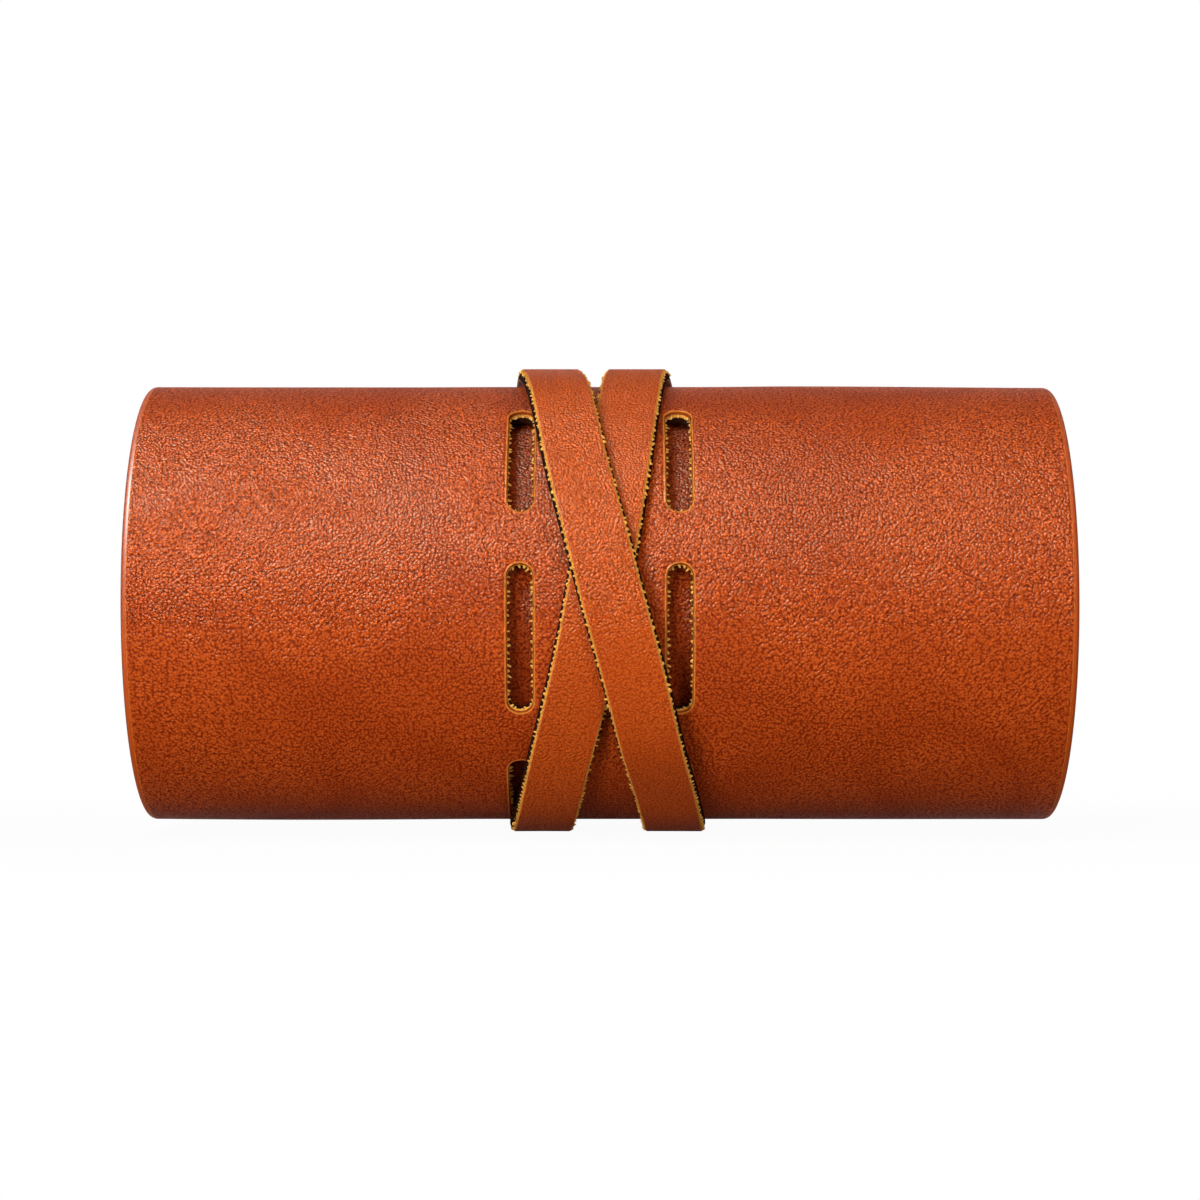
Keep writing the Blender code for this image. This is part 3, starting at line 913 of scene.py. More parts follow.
@dataclass(frozen=True)
class GrainLeather(Finish):
    """The grain side of dyed vegetable-tanned leather.

    Past a given distance along a sheet, in the inner turn, its colour may be darkened by inner: painted
    shade.
    """

    name: str
    color: Color
    dark: Color
    pale: Color
    wear_and_highlight: Color
    cell: float
    relief: float
    wrinkles: float
    roughness: float
    specular: float
    glint: Color
    inner: Color | None = None
    inner_shade_from: float = 0.0
    inner_shade_fade: float = 0.012
    relief_change: Span = (0.3, 0.7, 0.75, 1.15)
    rim_smoothness: float = 0.8
    valley_roughness: float = 0.1
    tip_polish: float = 0.15

    def dress(self, bench: NodeBench) -> dict[str, object]:
        """The grain makes the height, darker valleys and paler tips (dye, painted shade and highlight); the
        rim is smoothed.

        Args:
            bench: where the nodes are added.

        Returns:
            The shader's inputs.
        """
        place, rim = bench.flat(), bench.value(Field.RIM)
        grain = PebbleGrain.put(bench, {"Vector": place, "Cell": self.cell, "Wrinkles": self.wrinkles})
        colors = {"Color": self.color, "Dark": self.dark, "Pale": self.pale}
        dye = Mottle.put(bench, {"Vector": place, "Tips": grain["Tips"], **colors})
        color = dye["Color"]
        # Painted shade: the inner turn, seen through the slots, is darkened by the inner colour.
        if self.inner:
            along = bench.add("SeparateXYZ", {0: place}).outputs[0]
            inner_turn_shade = bench.span(along, self.inner_shade_from, self.inner_shade_from + self.inner_shade_fade)
            color = bench.mix(inner_turn_shade, color, bench.mix(1.0, color, self.inner, "MULTIPLY"))
        # Paler rims: partly rubbing, partly a painted highlight line along the cut edges.
        worn_and_highlit = RimWearAndHighlight.put(bench, {"Vector": place, "Color": color, "WearAndHighlight": self.wear_and_highlight, "Rim": rim})
        patchy = bench.span(dye["Cloud"], *self.relief_change)
        height = bench.math("MULTIPLY", grain["Height"], patchy)
        height = bench.math("MULTIPLY", height, bench.math("MULTIPLY_ADD", rim, -self.rim_smoothness, 1.0))
        low = self.roughness + self.valley_roughness
        return {
            "Base Color": worn_and_highlit["Color"],
            "Roughness": bench.math("MULTIPLY_ADD", grain["Tips"], -self.tip_polish, low),
            "Normal": bench.bump(height, self.relief),
            "Specular IOR Level": self.specular,
            "Specular Tint": self.glint,
        }


@dataclass(frozen=True)
class BurnishedEdge(Finish):
    """A cut edge that is dyed and rubbed smooth: bright on its bevel and darker down its side."""

    name: str
    color: Color
    low: Color
    turn_depth: float
    roughness: float
    specular: float
    turn_fade: float = 0.12
    fibre: float = 0.0009
    streak_share: float = 0.25
    relief: float = 0.00006
    strength: float = 0.5

    def dress(self, bench: NodeBench) -> dict[str, object]:
        """The colour changes with depth, over a faint streak of fibres.

        Args:
            bench: where the nodes are added.

        Returns:
            The shader's inputs.
        """
        depth = bench.value(Field.DEPTH)
        turn = bench.span(depth, self.turn_depth - self.turn_fade, self.turn_depth + self.turn_fade)
        color = bench.mix(turn, self.color, self.low)
        height = CutFibres.put(bench, {"Vector": bench.flat(), "Size": self.fibre})["Height"]
        return {
            "Base Color": bench.mix(bench.math("MULTIPLY", height, self.streak_share), color, self.low),
            "Roughness": self.roughness,
            "Normal": bench.bump(height, self.relief, self.strength),
            "Specular IOR Level": self.specular,
        }


@dataclass(frozen=True)
class CutEdge(Finish):
    """A raw cut, in bands down its depth, such as rubbed bright, dark, frayed, and near black as painted
    shade.
    """

    name: str
    rubbed: Color
    bands: tuple[tuple[float, Color], ...]
    fibre: float
    relief: float
    streak_share: float = 0.35
    streak_dye: Color = (0.5, 0.4, 0.35)
    band_fade: float = 0.05
    raggedness: float = 0.2
    roughness: float = 0.95
    specular: float = 0.002

    def dress(self, bench: NodeBench) -> dict[str, object]:
        """Each band starts at its share of the depth, and streaks of fibre make the bands ragged.

        Args:
            bench: where the nodes are added.

        Returns:
            The shader's inputs.
        """
        depth = bench.math("SUBTRACT", bench.value(Field.DEPTH), self.raggedness / 2.0)
        fibres = CutFibres.put(bench, {"Vector": bench.flat(), "Size": self.fibre})
        ragged = bench.math("MULTIPLY_ADD", fibres["Height"], self.raggedness, depth)
        color = self.rubbed
        for start, band in self.bands:
            share = bench.span(ragged, start - self.band_fade, start + self.band_fade)
            color = bench.mix(share, color, band)
        dulled = bench.mix(1.0, color, self.streak_dye, "MULTIPLY")
        streaks = bench.math("MULTIPLY", fibres["Share"], self.streak_share)
        return {
            "Base Color": bench.mix(streaks, color, dulled),
            "Roughness": self.roughness,
            "Normal": bench.bump(fibres["Height"], self.relief),
            "Specular IOR Level": self.specular,
        }


@dataclass(frozen=True)
class FleshSide(Finish):
    """The suede-like back of the leather: soft nap in clouds."""

    name: str
    color: Color
    dark: Color
    nap: float = 0.0006
    relief: float = 0.00012
    cloud_scale: float = 60.0
    cloud_dark: Span = (0.3, 0.7, 0.0, 0.7)
    nap_dark: Span = (0.45, 0.7, 0.0, 0.6)
    roughness: float = 0.95
    specular: float = 0.1
    sheen: float = 0.15

    def dress(self, bench: NodeBench) -> dict[str, object]:
        """A fine nap over wide clouds of dye, with a soft sheen.

        Args:
            bench: where the nodes are added.

        Returns:
            The shader's inputs.
        """
        place = bench.flat()
        nap = CutFibres.put(bench, {"Vector": place, "Size": self.nap})["Height"]
        cloud = bench.span(bench.noise(place, self.cloud_scale, 3.0).outputs[0], *self.cloud_dark)
        color = bench.mix(cloud, self.color, self.dark)
        return {
            "Base Color": bench.mix(bench.span(nap, *self.nap_dark), color, self.dark),
            "Roughness": self.roughness,
            "Normal": bench.bump(nap, self.relief),
            "Specular IOR Level": self.specular,
            "Sheen Weight": self.sheen,
        }


@dataclass(frozen=True)
class WaxedThread(Finish):
    """Twisted linen thread with a coat of wax."""

    name: str
    color: Color
    dark: Color
    twist: float
    unevenness: float = 0.4
    relief: float = 0.00008
    strength: float = 0.8
    roughness: float = 0.55

    def dress(self, bench: NodeBench) -> dict[str, object]:
        """Slanting bands of a sine wave show the plies.

        Args:
            bench: where the nodes are added.

        Returns:
            The shader's inputs.
        """
        sockets = {"Vector": bench.flat(), "Scale": 1.0 / self.twist, "Detail": 1.0}
        sockets["Distortion"] = self.unevenness
        plies = bench.add("TexWave", sockets, bands_direction="DIAGONAL").outputs[1]
        return {
            "Base Color": bench.mix(plies, self.dark, self.color),
            "Roughness": self.roughness,
            "Normal": bench.bump(plies, self.relief, self.strength),
        }


@dataclass(frozen=True)
class PolishedBrass(Finish):
    """Turned brass, a little dulled in clouds."""

    name: str
    color: Color
    dull: Color
    cloud_scale: float = 700.0
    cloud_dull: Span = (0.4, 0.7, 0.0, 0.8)
    cloud_roughness: Span = (0.35, 0.7, 0.2, 0.42)

    def dress(self, bench: NodeBench) -> dict[str, object]:
        """Clouds of noise on object coordinates change colour and roughness.

        Args:
            bench: where the nodes are added.

        Returns:
            The shader's inputs.
        """
        place = bench.add("TexCoord").outputs["Object"]
        sockets = {"Vector": place, "Scale": self.cloud_scale, "Detail": 3.0}
        cloud = bench.add("TexNoise", sockets).outputs[0]
        return {
            "Base Color": bench.mix(bench.span(cloud, *self.cloud_dull), self.color, self.dull),
            "Roughness": bench.span(cloud, *self.cloud_roughness),
            "Metallic": 1.0,
        }


class Finishes:
    """Every finish on the roll."""

    # Dark and pale colour the grain's valleys and tips: partly dye, partly painted shade and highlight.
    COVER = GrainLeather(
        name="tan_cover_grain",
        color=(0.49, 0.066, 0.008),
        dark=(0.27, 0.028, 0.003),
        pale=(0.66, 0.108, 0.0145),
        # Rim colour: partly rubbing, partly a painted highlight line.
        wear_and_highlight=(0.8, 0.24, 0.04),
        cell=0.0006,
        relief=0.00018,
        wrinkles=0.4,
        roughness=0.38,
        specular=0.01,
        glint=(1.0, 0.8, 0.55),
        # The inner turn seen through the slots is darkened: painted shade.
        inner=(0.65, 0.61, 0.7),
        inner_shade_from=0.282,
    )
    STRAP = GrainLeather(
        name="tan_strap_grain",
        color=(0.58, 0.088, 0.01),
        dark=(0.45, 0.058, 0.006),
        pale=(0.7, 0.125, 0.016),
        wear_and_highlight=(0.9, 0.3, 0.09),
        cell=0.00055,
        relief=0.0002,
        wrinkles=0.2,
        roughness=0.38,
        specular=0.01,
        glint=(1.0, 0.75, 0.45),
    )
    POCKET = GrainLeather(
        name="brown_pocket_grain",
        color=(0.17, 0.045, 0.018),
        dark=(0.09, 0.02, 0.008),
        pale=(0.22, 0.065, 0.026),
        wear_and_highlight=(0.32, 0.12, 0.05),
        cell=0.0006,
        relief=0.00006,
        wrinkles=0.25,
        roughness=0.6,
        specular=0.03,
        glint=(1.0, 0.8, 0.6),
    )
    COVER_EDGE = BurnishedEdge(
        name="burnished_cover_edge",
        color=(0.55, 0.08, 0.007),
        low=(0.22, 0.04, 0.005),
        turn_depth=0.15,
        roughness=0.5,
        specular=0.03,
    )
    SLOT_EDGE = CutEdge(
        name="cut_slot_edge",
        rubbed=(0.85, 0.27, 0.04),
        # Dark brown: the cut's colour and painted shade; frayed yellow; then near black, painted shade deep
        # in the slot.
        bands=((0.04, (0.34, 0.06, 0.007)), (0.28, (0.85, 0.4, 0.07)), (0.5, (0.03, 0.008, 0.003))),
        fibre=0.0005,
        relief=0.0001,
    )
    STRAP_EDGE = CutEdge(
        name="cut_strap_edge",
        rubbed=(0.98, 0.42, 0.07),
        # The last band, near black, is painted shade down the strap's lower side.
        bands=((0.04, (0.85, 0.3, 0.03)), (0.1, (0.98, 0.52, 0.08)), (0.22, (0.03, 0.008, 0.003))),
        fibre=0.0006,
        streak_share=0.7,
        relief=0.0001,
    )
    FIBRES = CutEdge(
        name="loose_fibres",
        rubbed=(0.95, 0.4, 0.06),
        bands=((0.3, (0.97, 0.52, 0.1)), (0.7, (0.97, 0.62, 0.18))),
        fibre=0.0005,
        relief=0.00004,
    )
    POCKET_EDGE = BurnishedEdge(
        name="burnished_pocket_edge",
        color=(0.2, 0.06, 0.025),
        low=(0.1, 0.03, 0.012),
        turn_depth=0.5,
        roughness=0.6,
        specular=0.05,
    )
    FLESH = FleshSide("flesh_side", (0.42, 0.17, 0.07), (0.26, 0.09, 0.035))
    POCKET_FLESH = FleshSide("pocket_flesh_side", (0.2, 0.09, 0.045), (0.12, 0.05, 0.025))
    THREAD = WaxedThread("waxed_thread", (0.68, 0.52, 0.33), (0.36, 0.25, 0.14), 0.0011)
    BRASS = PolishedBrass("dulled_brass", (0.78, 0.55, 0.24), (0.5, 0.32, 0.12))


# Pieces


def report(piece: bpy.types.Object) -> None:
    """Logs a finished piece and its face count."""
    LOGGER.info("%s: %d faces", piece.name, len(piece.data.polygons))


def settle(piece: bpy.types.Object, body: Body, nodes: Sequence[str] = ()) -> bpy.types.Object:
    """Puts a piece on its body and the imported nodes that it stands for.

    Args:
        piece: the finished piece.
        body: the body that it rides on.
        nodes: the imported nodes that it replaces.

    Returns:
        The piece.
    """
    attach(piece, body.value)
    if nodes:
        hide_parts(*nodes)
    report(piece)
    return piece


@dataclass
class RollCover:
    """The sheet of tan leather, slotted in its outer turn and rolled up from its flap edge at the back."""

    wall: float = 0.0028
    turn_gap: float = 0.0012
    flap_edge_turn: float = 190.0
    step_in_turn: float = 70.0
    slot_width: float = 0.0058
    slot_margin: float = 0.002
    slot_column_spacing: float = 0.0318
    slot_spans: tuple = ((23.2, 59.3), (-28.8, 10.2), (-81.5, -43.6), (-132.0, -95.0))
    row_step: float = 0.00125
    corner: float = 0.005
    rim_reach: float = 0.0004
    ripple: float = 0.00016
    ripple_margin: float = 0.02
    bridge_columns: int = 9
    slot_columns: int = 13
    side_columns: int = 20
    grain_edge: EdgeShape = EdgeShape(0.00115, 0.00105)
    flesh_edge: EdgeShape = EdgeShape(0.0007, 0.0006)
    fringe: Fringe = Fringe(spacing=0.00138, reach=0.00055, width=0.0006, fall=0.0002, seed=11)
    fringe_depth: float = 0.0011
    fringe_inset: float = 0.00034

    @property
    def pitch(self) -> float:
        """How far in a turn lies under the one outside it."""
        return self.wall + self.turn_gap

    @property
    def length(self) -> float:
        """The sheet's length, taken on the outer turn's radius."""
        return math.radians(2.0 * FULL_TURN - self.step_in_turn) * AXIS.radius

    @property
    def flesh_radius(self) -> float:
        """Radius of the inner turn's flesh side."""
        return AXIS.radius - self.pitch - self.wall

    def radius(self, wound: np.ndarray) -> np.ndarray:
        """Outer face at degrees in from the flap edge: a pitch less each turn, by a smooth step at its end.

        Args:
            wound: degrees in from the flap edge.

        Returns:
            Radii.
        """
        turns, rest = np.divmod(wound, FULL_TURN)
        start = FULL_TURN - self.step_in_turn
        return AXIS.radius - self.pitch * (turns + smooth_step((rest - start) / self.step_in_turn))

    def ripples(self, along: np.ndarray, across: np.ndarray) -> np.ndarray:
        """Heights of sin(a / 31 mm + 1.7) sin(x / 23 mm + 0.6) + sin(a / 12 mm + x / 17 mm) / 2.

        They fade to nothing where the strap lies.

        Args:
            along: distances in from the flap edge.
            across: places along the roll.

        Returns:
            Heights.
        """
        long_waves = np.sin(along / 0.031 + 1.7) * np.sin(across / 0.023 + 0.6)
        waves = long_waves + 0.5 * np.sin(along / 0.012 + across / 0.017)
        away = smooth_step((np.abs(across) - self.ripple_margin) / self.ripple_margin)
        return self.ripple * waves * away

    def place(self, along: np.ndarray, across: np.ndarray, depth: np.ndarray) -> np.ndarray:
        """Rolls the flat sheet up, with a slight ripple in it.

        Args:
            along: distances in from the flap edge.
            across: places along the roll.
            depth: depths below the grain face.

        Returns:
            Points.
        """
        wound = np.degrees(along / AXIS.radius)
        radius = self.radius(wound) - depth + self.ripples(along, across)
        return AXIS.point(self.flap_edge_turn + wound, radius, across)

    def half_width(self, along: np.ndarray) -> np.ndarray:
        """Half the roll's length, less a round corner at each end: c (1 - sqrt(1 - (1 - d / c)^2)).

        Args:
            along: distances in from the flap edge.

        Returns:
            Half widths.
        """
        inward = np.minimum(along, self.length - along)
        return AXIS.length / 2.0 - EdgeShape(self.corner, self.corner).drop(inward)

    def slits(self) -> tuple[Slit, ...]:
        """The slots of both columns, as distances in from the flap edge.

        Returns:
            The slots.
        """
        made = []
        for turns in self.slot_spans:
            wound = [math.radians((turn - self.flap_edge_turn) % FULL_TURN) for turn in turns]
            start, end = (turn * AXIS.radius for turn in wound)
            for side in (-0.5, 0.5):
                made.append(Slit(start, end, side * self.slot_column_spacing, self.slot_width))
        return tuple(made)

    def build(self) -> bpy.types.Object:
        """Makes the sheet and the loose fibres in its slots.

        Returns:
            The cover.
        """
        half = AXIS.length / 2.0
        slot_half = self.slot_width / 2.0 + self.slot_margin
        inner, outer = (self.slot_column_spacing / 2.0 + side * slot_half for side in (-1, 1))
        bridge = np.linspace(-inner, inner, self.bridge_columns)
        fine = np.linspace(inner, outer, self.slot_columns)
        wide = np.linspace(outer, half - self.grain_edge.reach - self.rim_reach, self.side_columns)
        steps = self.grain_edge.steps(self.rim_reach)
        slab = Slab(
            along=end_rows(self.length, self.row_step, steps),
            shares=crowded(half, steps, np.concatenate([-wide, -fine, bridge, fine, wide])),
            half_width=self.half_width,
            wall=self.wall,
            grain_edge=self.grain_edge,
            flesh_edge=self.flesh_edge,
            place=self.place,
            slits=self.slits(),
            rim_reach=self.rim_reach,
        )
        looks = [Finishes.COVER, Finishes.COVER_EDGE, Finishes.FLESH, Finishes.SLOT_EDGE]
        cover = slab.build("cover_leather_sheet", looks)
        settle(cover, Body.ROLL, ["roll_cover"])
        self.build_fibres()
        return cover

    def build_fibres(self) -> None:
        """Makes the loose fibres round each slot, low on the sloping cut."""
        made = Patchwork()
        for slit in self.slits():
            along, across, away = slit.outline(self.fringe.spacing)
            base = np.stack([along, across], -1) - self.fringe_inset * away
            self.fringe.add_to(made, self.place, base, -away, self.fringe_depth, 0)
        fibres = made.make("slot_fibres", [Finishes.FIBRES])
        settle(fibres, Body.ROLL)


@dataclass
class ClosureStrap:
    """The flat strap wound twice round the roll, whose two passes cross in front, and its free end."""

    width: float = 0.0127
    wall: float = 0.0024
    gap: float = 0.0003
    spread: float = 0.0157
    slack: float = 0.0011
    slack_reach_turn: float = 50.0
    root_turn: float = -200.0
    split_turn: float = 555.0
    hinge_turn: float = 570.0
    bend_turn: float = 4.0
    tip_turn: float = 608.0
    tip_length: float = 0.008
    tip_share: float = 0.55
    crossing_turns: tuple = (306.0, 390.0)
    join_turn: float = 514.0
    climb_turn: float = 28.0
    route_shares: tuple = (
        (-240.0, 0.74),
        (-190.0, 0.74),
        (-140.0, 0.73),
        (-90.0, 0.52),
        (-35.0, 0.235),
        (5.0, -0.10),
        (48.0, -0.57),
        (90.0, -0.80),
        (180.0, -0.86),
        (270.0, -0.69),
        (321.0, -0.345),
        (352.0, 0.058),
        (382.0, 0.495),
        (417.0, 0.87),
        (450.0, 1.0),
        (510.0, 0.78),
        (570.0, 0.74),
        (640.0, 0.74),
    )
    nudge: float = 0.5
    row_step: float = 0.001
    columns: int = 10
    inner_share: float = 0.75
    rim_reach: float = 0.0003
    flare: float = 0.00025
    grain_edge: EdgeShape = EdgeShape(0.0008, 0.0018, 1.2)
    flesh_edge: EdgeShape = EdgeShape(0.0003, 0.0002)
    fringe: Fringe = Fringe(spacing=0.00134, reach=0.0004, width=0.00066, fall=0.0002, seed=23)
    fringe_depth: float = 0.0005
    fringe_inset: float = 0.00052

    @property
    def face_radius(self) -> float:
        """Radius of the strap's outer face where it lies on the cover."""
        return AXIS.radius + self.gap + self.wall

    def sideways(self, turn: np.ndarray) -> np.ndarray:
        """The strap's middle line: a cubic between each two stations, with slopes from their neighbours.

        Args:
            turn: degrees along the strap.

        Returns:
            Places along the roll.
        """
        turns, shares = np.array(self.route_shares).T
        here = np.arange(len(turns))
        ahead, behind = np.minimum(here + 1, here[-1]), np.maximum(here - 1, 0)
        slopes = (shares[ahead] - shares[behind]) / (turns[ahead] - turns[behind])
        at = np.clip(np.searchsorted(turns, turn, "right") - 1, 0, len(turns) - 2)
        step = turns[at + 1] - turns[at]
        part = (turn - turns[at]) / step
        square, cube = part**2, part**3
        curve = (2 * cube - 3 * square + 1) * shares[at] + (cube - 2 * square + part) * step * slopes[at]
        curve += (3 * square - 2 * cube) * shares[at + 1] + (cube - square) * step * slopes[at + 1]
        return curve * self.spread

    def radius(self, turn: np.ndarray) -> np.ndarray:
        """Inner face: snug on the cover, slack on top, and a wall higher where it crosses or meets a pass.

        Args:
            turn: degrees along the strap.

        Returns:
            Radii.
        """
        top = FULL_TURN * 0.75  # three quarters of a turn along the strap
        from_top = np.abs((turn + top) % FULL_TURN - FULL_TURN / 2.0)
        slack = self.slack * smooth_step(1.0 - from_top / self.slack_reach_turn)
        onto, off = self.crossing_turns
        crossing = smooth_step((turn - onto) / self.climb_turn + 1.0)
        crossing = crossing * smooth_step((off - turn) / self.climb_turn + 1.0)
        join = smooth_step((turn - self.join_turn) / self.climb_turn + 1.0)
        return AXIS.radius + self.gap + slack + (self.wall + self.gap) * np.maximum(crossing, join)

    def place_from(self, first: float) -> Place:
        """Makes the function that winds a strip on from a turn, its sides square to its route.

        Args:
            first: the turn where the strip starts.

        Returns:
            The function from flat places to points.
        """

        def place(along: np.ndarray, across: np.ndarray, depth: np.ndarray) -> np.ndarray:
            """Turns by along / radius, leans with the route, and is pressed flat on the floor.

            Args:
                along: distances along the strip.
                across: distances to its side.
                depth: depths below the grain face.

            Returns:
                Points.
            """
            turn = first + np.degrees(along / self.face_radius)
            rise = self.sideways(turn + self.nudge) - self.sideways(turn - self.nudge)
            lean = np.arctan(rise / (2.0 * math.radians(self.nudge) * self.face_radius))
            there = turn - np.degrees(across * np.sin(lean) / self.face_radius)
            sideways = self.sideways(turn) + across * np.cos(lean)
            points = AXIS.point(-there, self.radius(there) + self.wall - depth, sideways)
            points[..., 2] = np.maximum(points[..., 2], 0.0)
            return points

        return place

    def strip(self, first: float, last: float, turning: Turning) -> Slab:
        """A strip of the strap from one turn to another.

        Args:
            first: turn where it starts.
            last: turn where it ends.
            turning: which of its ends are rounded over.

        Returns:
            The strip.
        """
        length = math.radians(last - first) * self.face_radius
        half = self.width / 2.0 + self.flare

        def half_width(along: np.ndarray) -> np.ndarray:
            """Full width, but at the free end, where it falls as a quarter ellipse to the tip's share.

            Args:
                along: distances along the strip.

            Returns:
                Half widths.
            """
            from_tip = np.clip((length - along) / self.tip_length, 0.0, 1.0)
            bow = self.tip_share + (1.0 - self.tip_share) * np.sqrt(1.0 - (1.0 - from_tip) ** 2)
            return half * (bow if turning is Turning.END else np.ones_like(along))

        steps = self.grain_edge.steps(self.rim_reach)
        return Slab(
            along=end_rows(length, self.row_step, steps, turning),
            shares=crowded(half, steps, even(half, self.inner_share, self.columns)),
            half_width=half_width,
            wall=self.wall,
            grain_edge=self.grain_edge,
            flesh_edge=self.flesh_edge,
            place=self.place_from(first),
            turning=turning,
            rim_reach=self.rim_reach,
        )

    def add_fibres(self, made: Patchwork, strip: Slab) -> None:
        """Adds loose fibres down both cut sides of a strip.

        Args:
            made: what they are added to.
            strip: the strip of strap.
        """
        along = np.arange(self.fringe.spacing, strip.along[-1] - self.fringe.spacing, self.fringe.spacing)
        for side in (-1.0, 1.0):
            base = np.stack([along, side * (strip.half_width(along) - self.fringe_inset)], -1)
            away = np.broadcast_to(np.array([0.0, side]), base.shape)
            self.fringe.add_to(made, strip.place, base, away, self.fringe_depth, Slab.SLIT_EDGE)

    def build_strip(self, name: str, first: float, last: float, turning: Turning) -> bpy.types.Object:
        """Makes a strip with its fibres.

        Args:
            name: the piece's name.
            first: turn where it starts.
            last: turn where it ends.
            turning: which of its ends are rounded over.

        Returns:
            The strip's object.
        """
        strip = self.strip(first, last, turning)
        made = Patchwork()
        strip.add_to(made)
        self.add_fibres(made, strip)
        return made.make(name, [Finishes.STRAP, Finishes.STRAP_EDGE, Finishes.FLESH, Finishes.FIBRES])

    def build(self) -> bpy.types.Object:
        """Makes the wound strap and its free end.

        Returns:
            The wound strap.
        """
        wound = self.build_strip("wound_strap", self.root_turn, self.split_turn, Turning.START)
        settle(wound, Body.STRAP, ["closure_strap"])
        end = self.build_strip("strap_free_end", self.split_turn, self.tip_turn, Turning.END)
        turns = np.array([self.hinge_turn - self.bend_turn, self.hinge_turn + self.bend_turn])
        start, stop = AXIS.point(-turns, self.radius(turns) + self.wall, self.sideways(turns))
        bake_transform(end)
        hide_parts("strap_tail")
        report(end)
        return wound


@dataclass
class Ribbon:
    """A strip on a path in a plane: the path's points, and the directions that its grain side faces."""

    path: np.ndarray
    normals: np.ndarray
    wall: float
    lift: Callable[[np.ndarray, np.ndarray, np.ndarray], np.ndarray]
    way: np.ndarray = field(init=False)

    def __post_init__(self) -> None:
        """Measures the path."""
        self.way = distances(self.path)

    def place(self, along: np.ndarray, across: np.ndarray, depth: np.ndarray) -> np.ndarray:
        """Point of the path at a distance, moved out by wall - depth, and lifted into space.

        Args:
            along: distances along the path.
            across: distances to its side.
            depth: depths below the grain face.

        Returns:
            Points.
        """
        out = self.wall - depth
        first, second = (
            np.interp(along, self.way, line) + out * np.interp(along, self.way, normal)
            for line, normal in zip(self.path.T, self.normals.T)
        )
        return self.lift(first, second, across)


def path_normals(path: np.ndarray) -> np.ndarray:
    """Unit directions to the left of a path in a plane.

    Args:
        path: (points, 2) places.

    Returns:
        (points, 2) directions.
    """
    along = np.gradient(path, axis=0)
    along /= np.linalg.norm(along, axis=1, keepdims=True)
    return np.stack([-along[:, 1], along[:, 0]], -1)


@dataclass
class StrapKeeper:
    """The leather loop that holds both ends of the strap: a rounded oblong, butted underneath."""

    wall: float = 0.0013
    band: float = 0.0090
    turn: float = 165.0
    side_gap: float = 0.0005
    corner: float = 0.0008
    rim_reach: float = 0.0003
    edge: EdgeShape = EdgeShape(0.0004, 0.0004)
    corner_steps: int = 10
    path_steps: int = 400
    rows: int = 160
    columns: int = 12
    inner_share: float = 0.75

    def outline(self, strap: ClosureStrap) -> np.ndarray:
        """Inner face of the loop, as sideways place and radius: four sides joined by quarter circles.

        Args:
            strap: the strap that it holds.

        Returns:
            (points, 2) places, the first and the last both in the middle underneath.
        """
        half = strap.width / 2.0 + self.side_gap
        low, high = AXIS.radius, strap.face_radius + strap.wall + 2.0 * strap.gap
        middle = float(strap.sideways(np.array(2.0 * FULL_TURN - self.turn)))
        angle = np.linspace(0.0, math.pi / 2.0, self.corner_steps)
        arc = self.corner * np.stack([np.cos(angle), np.sin(angle)], -1)
        turned = np.stack([-arc[:, 1], arc[:, 0]], -1)
        reach, top, bottom = half - self.corner, high - self.corner, low + self.corner
        parts = [
            [[0.0, low]],
            -turned + [reach, bottom],
            arc + [reach, top],
            turned + [-reach, top],
            -arc + [-reach, bottom],
            [[0.0, low]],
        ]
        return np.concatenate(parts) + [middle, 0.0]

    def build(self, strap: ClosureStrap) -> bpy.types.Object:
        """Makes the keeper.

        Args:
            strap: the strap that it holds.

        Returns:
            The keeper.
        """
        corners = self.outline(strap)
        way = distances(corners)
        fine = np.linspace(0.0, 1.0, self.path_steps) * way[-1]
        path = np.stack([np.interp(fine, way, line) for line in corners.T], -1)
        normals = -path_normals(path)
        normals[0] = normals[-1] = (0.0, -1.0)
        outer = strap.face_radius + strap.wall + self.wall

        def lift(sideways: np.ndarray, radius: np.ndarray, across: np.ndarray) -> np.ndarray:
            """Bends the band round the roll: across it is a turn about the keeper's own."""
            return AXIS.point(self.turn + np.degrees(across / outer), radius, sideways)

        ribbon = Ribbon(path, normals, self.wall, lift)
        half = self.band / 2.0
        steps = self.edge.steps(self.rim_reach)
        slab = Slab(
            along=np.linspace(0.0, ribbon.way[-1], self.rows),
            shares=crowded(half, steps, even(half, self.inner_share, self.columns)),
            half_width=lambda along: np.full_like(along, half),
            wall=self.wall,
            grain_edge=self.edge,
            flesh_edge=self.edge,
            place=ribbon.place,
            turning=Turning.NEITHER,
            rim_reach=self.rim_reach,
        )
        keeper = slab.build("keeper_loop", [Finishes.STRAP, Finishes.STRAP_EDGE, Finishes.FLESH])
        return settle(keeper, Body.KEEPER, ["strap_keeper"])


